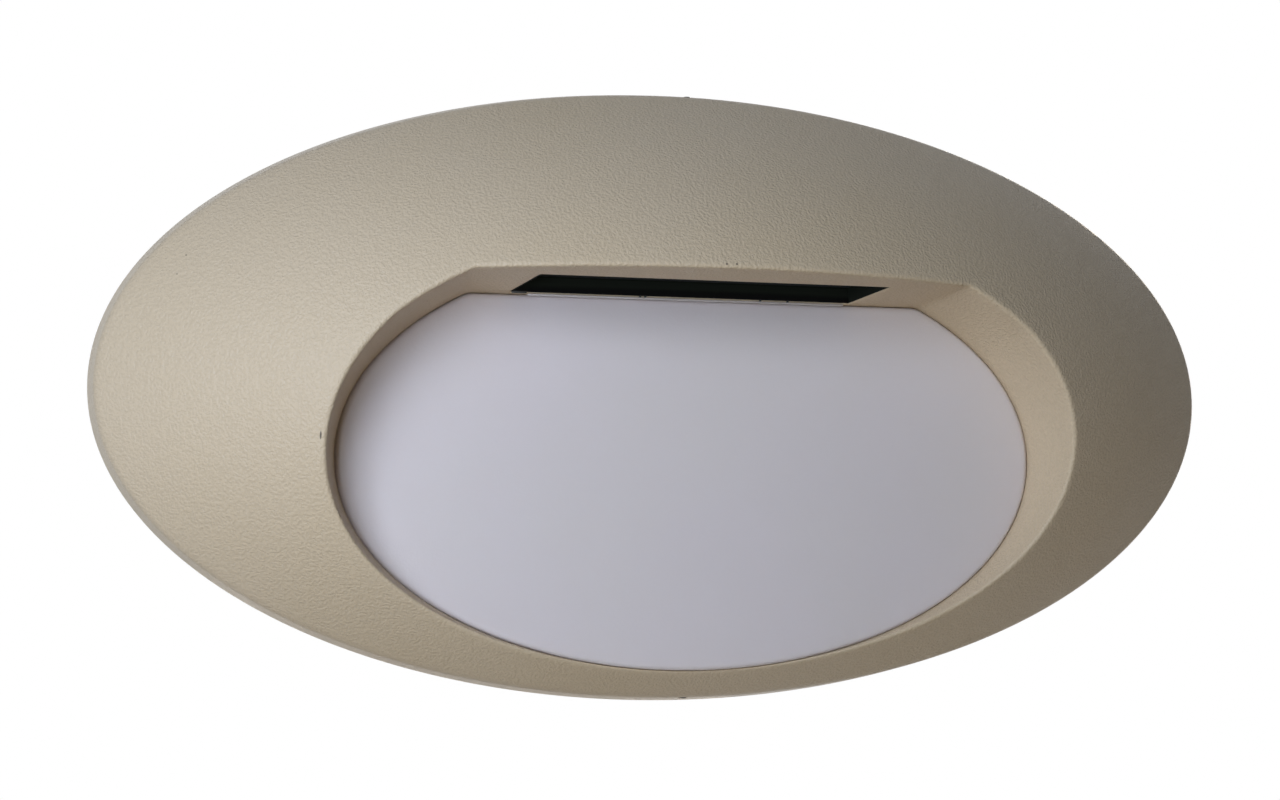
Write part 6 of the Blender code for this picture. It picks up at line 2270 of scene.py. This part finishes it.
@dataclass
class Studio:
    """Camera at the photograph's angle, soft light from the left, and a pale floor."""

    focal_pixels: float = 1936.0
    frame_pixels: float = 1280.0
    sensor: float = 36.0
    clip_start: float = 0.01
    yaw: float = 15.5916
    pitch: float = -2.5161
    roll: float = -0.4503
    offset_shares: Colour = (0.066, 0.006, -3.407)
    lamps: tuple[Lamp, ...] = (
        Lamp("window_light", -37.0, 5.0, 0.52, (0.26, 0.42), 2.85, (0.74, 0.835, 1.02)),
        Lamp("floor_bounce", 15.0, -50.0, 0.6, (0.4, 0.4), 0.2, (1.0, 0.7, 0.15)),
        Lamp("back_right", 142.0, 8.0, 1.4, (0.7, 0.7), 5.5, (1.0, 0.84, 0.64)),
        Lamp("back_middle", 175.0, -4.0, 1.4, (0.7, 0.7), 4.5, (1.0, 0.88, 0.72)))
    world_colour: Colour = (1.0, 0.88, 0.74)
    world_strength: float = 0.006
    floor_drop: float = 0.60
    floor_radius: float = 0.80
    floor_fade: Plan = (0.45, 0.98)
    floor_lift: float = 0.55
    floor_roughness: float = 0.7
    floor_tone: Colour = (0.86, 0.86, 0.85)
    floor_shade: Colour = (0.84, 0.84, 0.83)

    def set_camera(self) -> None:
        """Place the camera where the photograph was taken from."""
        turns = zip((self.roll, self.pitch, self.yaw), "ZXY")
        roll, pitch, yaw = (Matrix.Rotation(math.radians(angle), 3, axis) for angle, axis in turns)
        look = roll @ pitch @ yaw
        offset = Vector(self.offset_shares) * FORM.half_width
        to_row = Matrix(((1, 0, 0), (0, 0, -1), (0, 1, 0)))
        place = to_row @ (look.transposed() @ -offset)
        data = bpy.data.cameras.new("photo_camera")
        data.sensor_width = self.sensor
        data.lens = self.focal_pixels * self.sensor / self.frame_pixels
        data.clip_start = self.clip_start
        camera = bpy.data.objects.new("photo_camera", data)
        camera.matrix_world = Matrix.Translation(place) @ (to_row @ look.transposed()).to_4x4()
        bpy.context.scene.collection.objects.link(camera)
        bpy.context.scene.camera = camera

    @staticmethod
    def seen(wiring: Wiring) -> Socket:
        """Whether a ray comes from the camera, a mirror or glass.

        Args:
            wiring: Tree that gets the nodes.

        Returns:
            One where it does, zero elsewhere.
        """
        path = wiring.add("ShaderNodeLightPath")
        direct = wiring.maths("MAXIMUM", path.outputs["Is Camera Ray"], path.outputs["Is Glossy Ray"])
        return wiring.maths("MAXIMUM", direct, path.outputs["Is Transmission Ray"])

    def set_world(self) -> None:
        """Warm even light, and a white background for the camera, mirrors and glass."""
        world = bpy.data.worlds.new("studio_world")
        world.use_nodes = True
        bpy.context.scene.world = world
        wiring = Wiring(world.node_tree)
        wiring.tree.nodes.clear()
        warm = {"Color": (*self.world_colour, 1), "Strength": self.world_strength}
        light = wiring.add("ShaderNodeBackground", warm)
        white = wiring.add("ShaderNodeBackground", {"Color": (1, 1, 1, 1), "Strength": 1.0})
        seen = self.seen(wiring)
        both = wiring.add("ShaderNodeMixShader", {0: seen, 1: light.outputs[0], 2: white.outputs[0]})
        wiring.add("ShaderNodeOutputWorld", {"Surface": both.outputs[0]})

    def add_floor(self) -> None:
        """A pale round floor well below the lamp, which fades out at its edge."""
        shape = bmesh.new()
        bmesh.ops.create_circle(shape, cap_ends=True, segments=96, radius=self.floor_radius,
                                matrix=Matrix.Translation((0, 0, -self.floor_drop)))
        floor = to_object("studio_floor", shape)
        made = bpy.data.materials.new("pale_floor")
        made.use_nodes = True
        wiring = Wiring(made.node_tree)
        shader = made.node_tree.nodes["Principled BSDF"]
        place = wiring.add("ShaderNodeTexCoord").outputs["Object"]
        flat = wiring.add("ShaderNodeVectorMath", {0: place, 1: (1, 1, 0)}, operation="MULTIPLY")
        away = wiring.add("ShaderNodeVectorMath", {0: flat.outputs[0]}, operation="LENGTH").outputs["Value"]
        start, end = (self.floor_radius * share for share in self.floor_fade)
        solid = wiring.ramp(away, start, end, 1.0, 0.0)
        cloud = CLOUD.place(wiring, {"Vector": place, "Size": 0.3, "Amount": 0.5, "Colour": self.floor_tone,
                                     "Other": self.floor_shade})
        wiring.feed(shader.inputs["Base Color"], cloud.outputs["Colour"])
        shader.inputs["Roughness"].default_value = self.floor_roughness
        white = wiring.add("ShaderNodeEmission", {"Color": (1, 1, 1, 1), "Strength": 1.0})
        lift = wiring.maths("MULTIPLY", self.seen(wiring), self.floor_lift)
        lifted = wiring.add("ShaderNodeMixShader", {0: lift, 1: shader.outputs[0], 2: white.outputs[0]})
        clear = wiring.add("ShaderNodeBsdfTransparent")
        faded = wiring.add("ShaderNodeMixShader", {0: solid, 1: clear.outputs[0], 2: lifted.outputs[0]})
        wiring.feed(made.node_tree.nodes["Material Output"].inputs["Surface"], faded.outputs[0])
        floor.data.materials.append(made)

    def dress(self) -> None:
        """Set the whole studio."""
        self.set_camera()
        for lamp in self.lamps:
            lamp.add()
        self.set_world()
        self.add_floor()
        bpy.context.scene.view_settings.view_transform = "Standard"


def main() -> None:
    """Build the lamp and its studio in order."""
    logging.basicConfig(level=logging.INFO, format="%(name)s: %(message)s")
    for assembly in (Studio(), ShellCasting(), OpalPan(), VentTrough(), ClampingFrame(), Fasteners(),
                     BaseCasting(), RubberParts(), GearTray(), LightBoard(), DriverBox(), LeverTerminals(),
                     EarthPoint(), Leads()):
        assembly.dress()
        LOG.info("%s done", type(assembly).__name__)


if __name__ == "__main__":
    main()
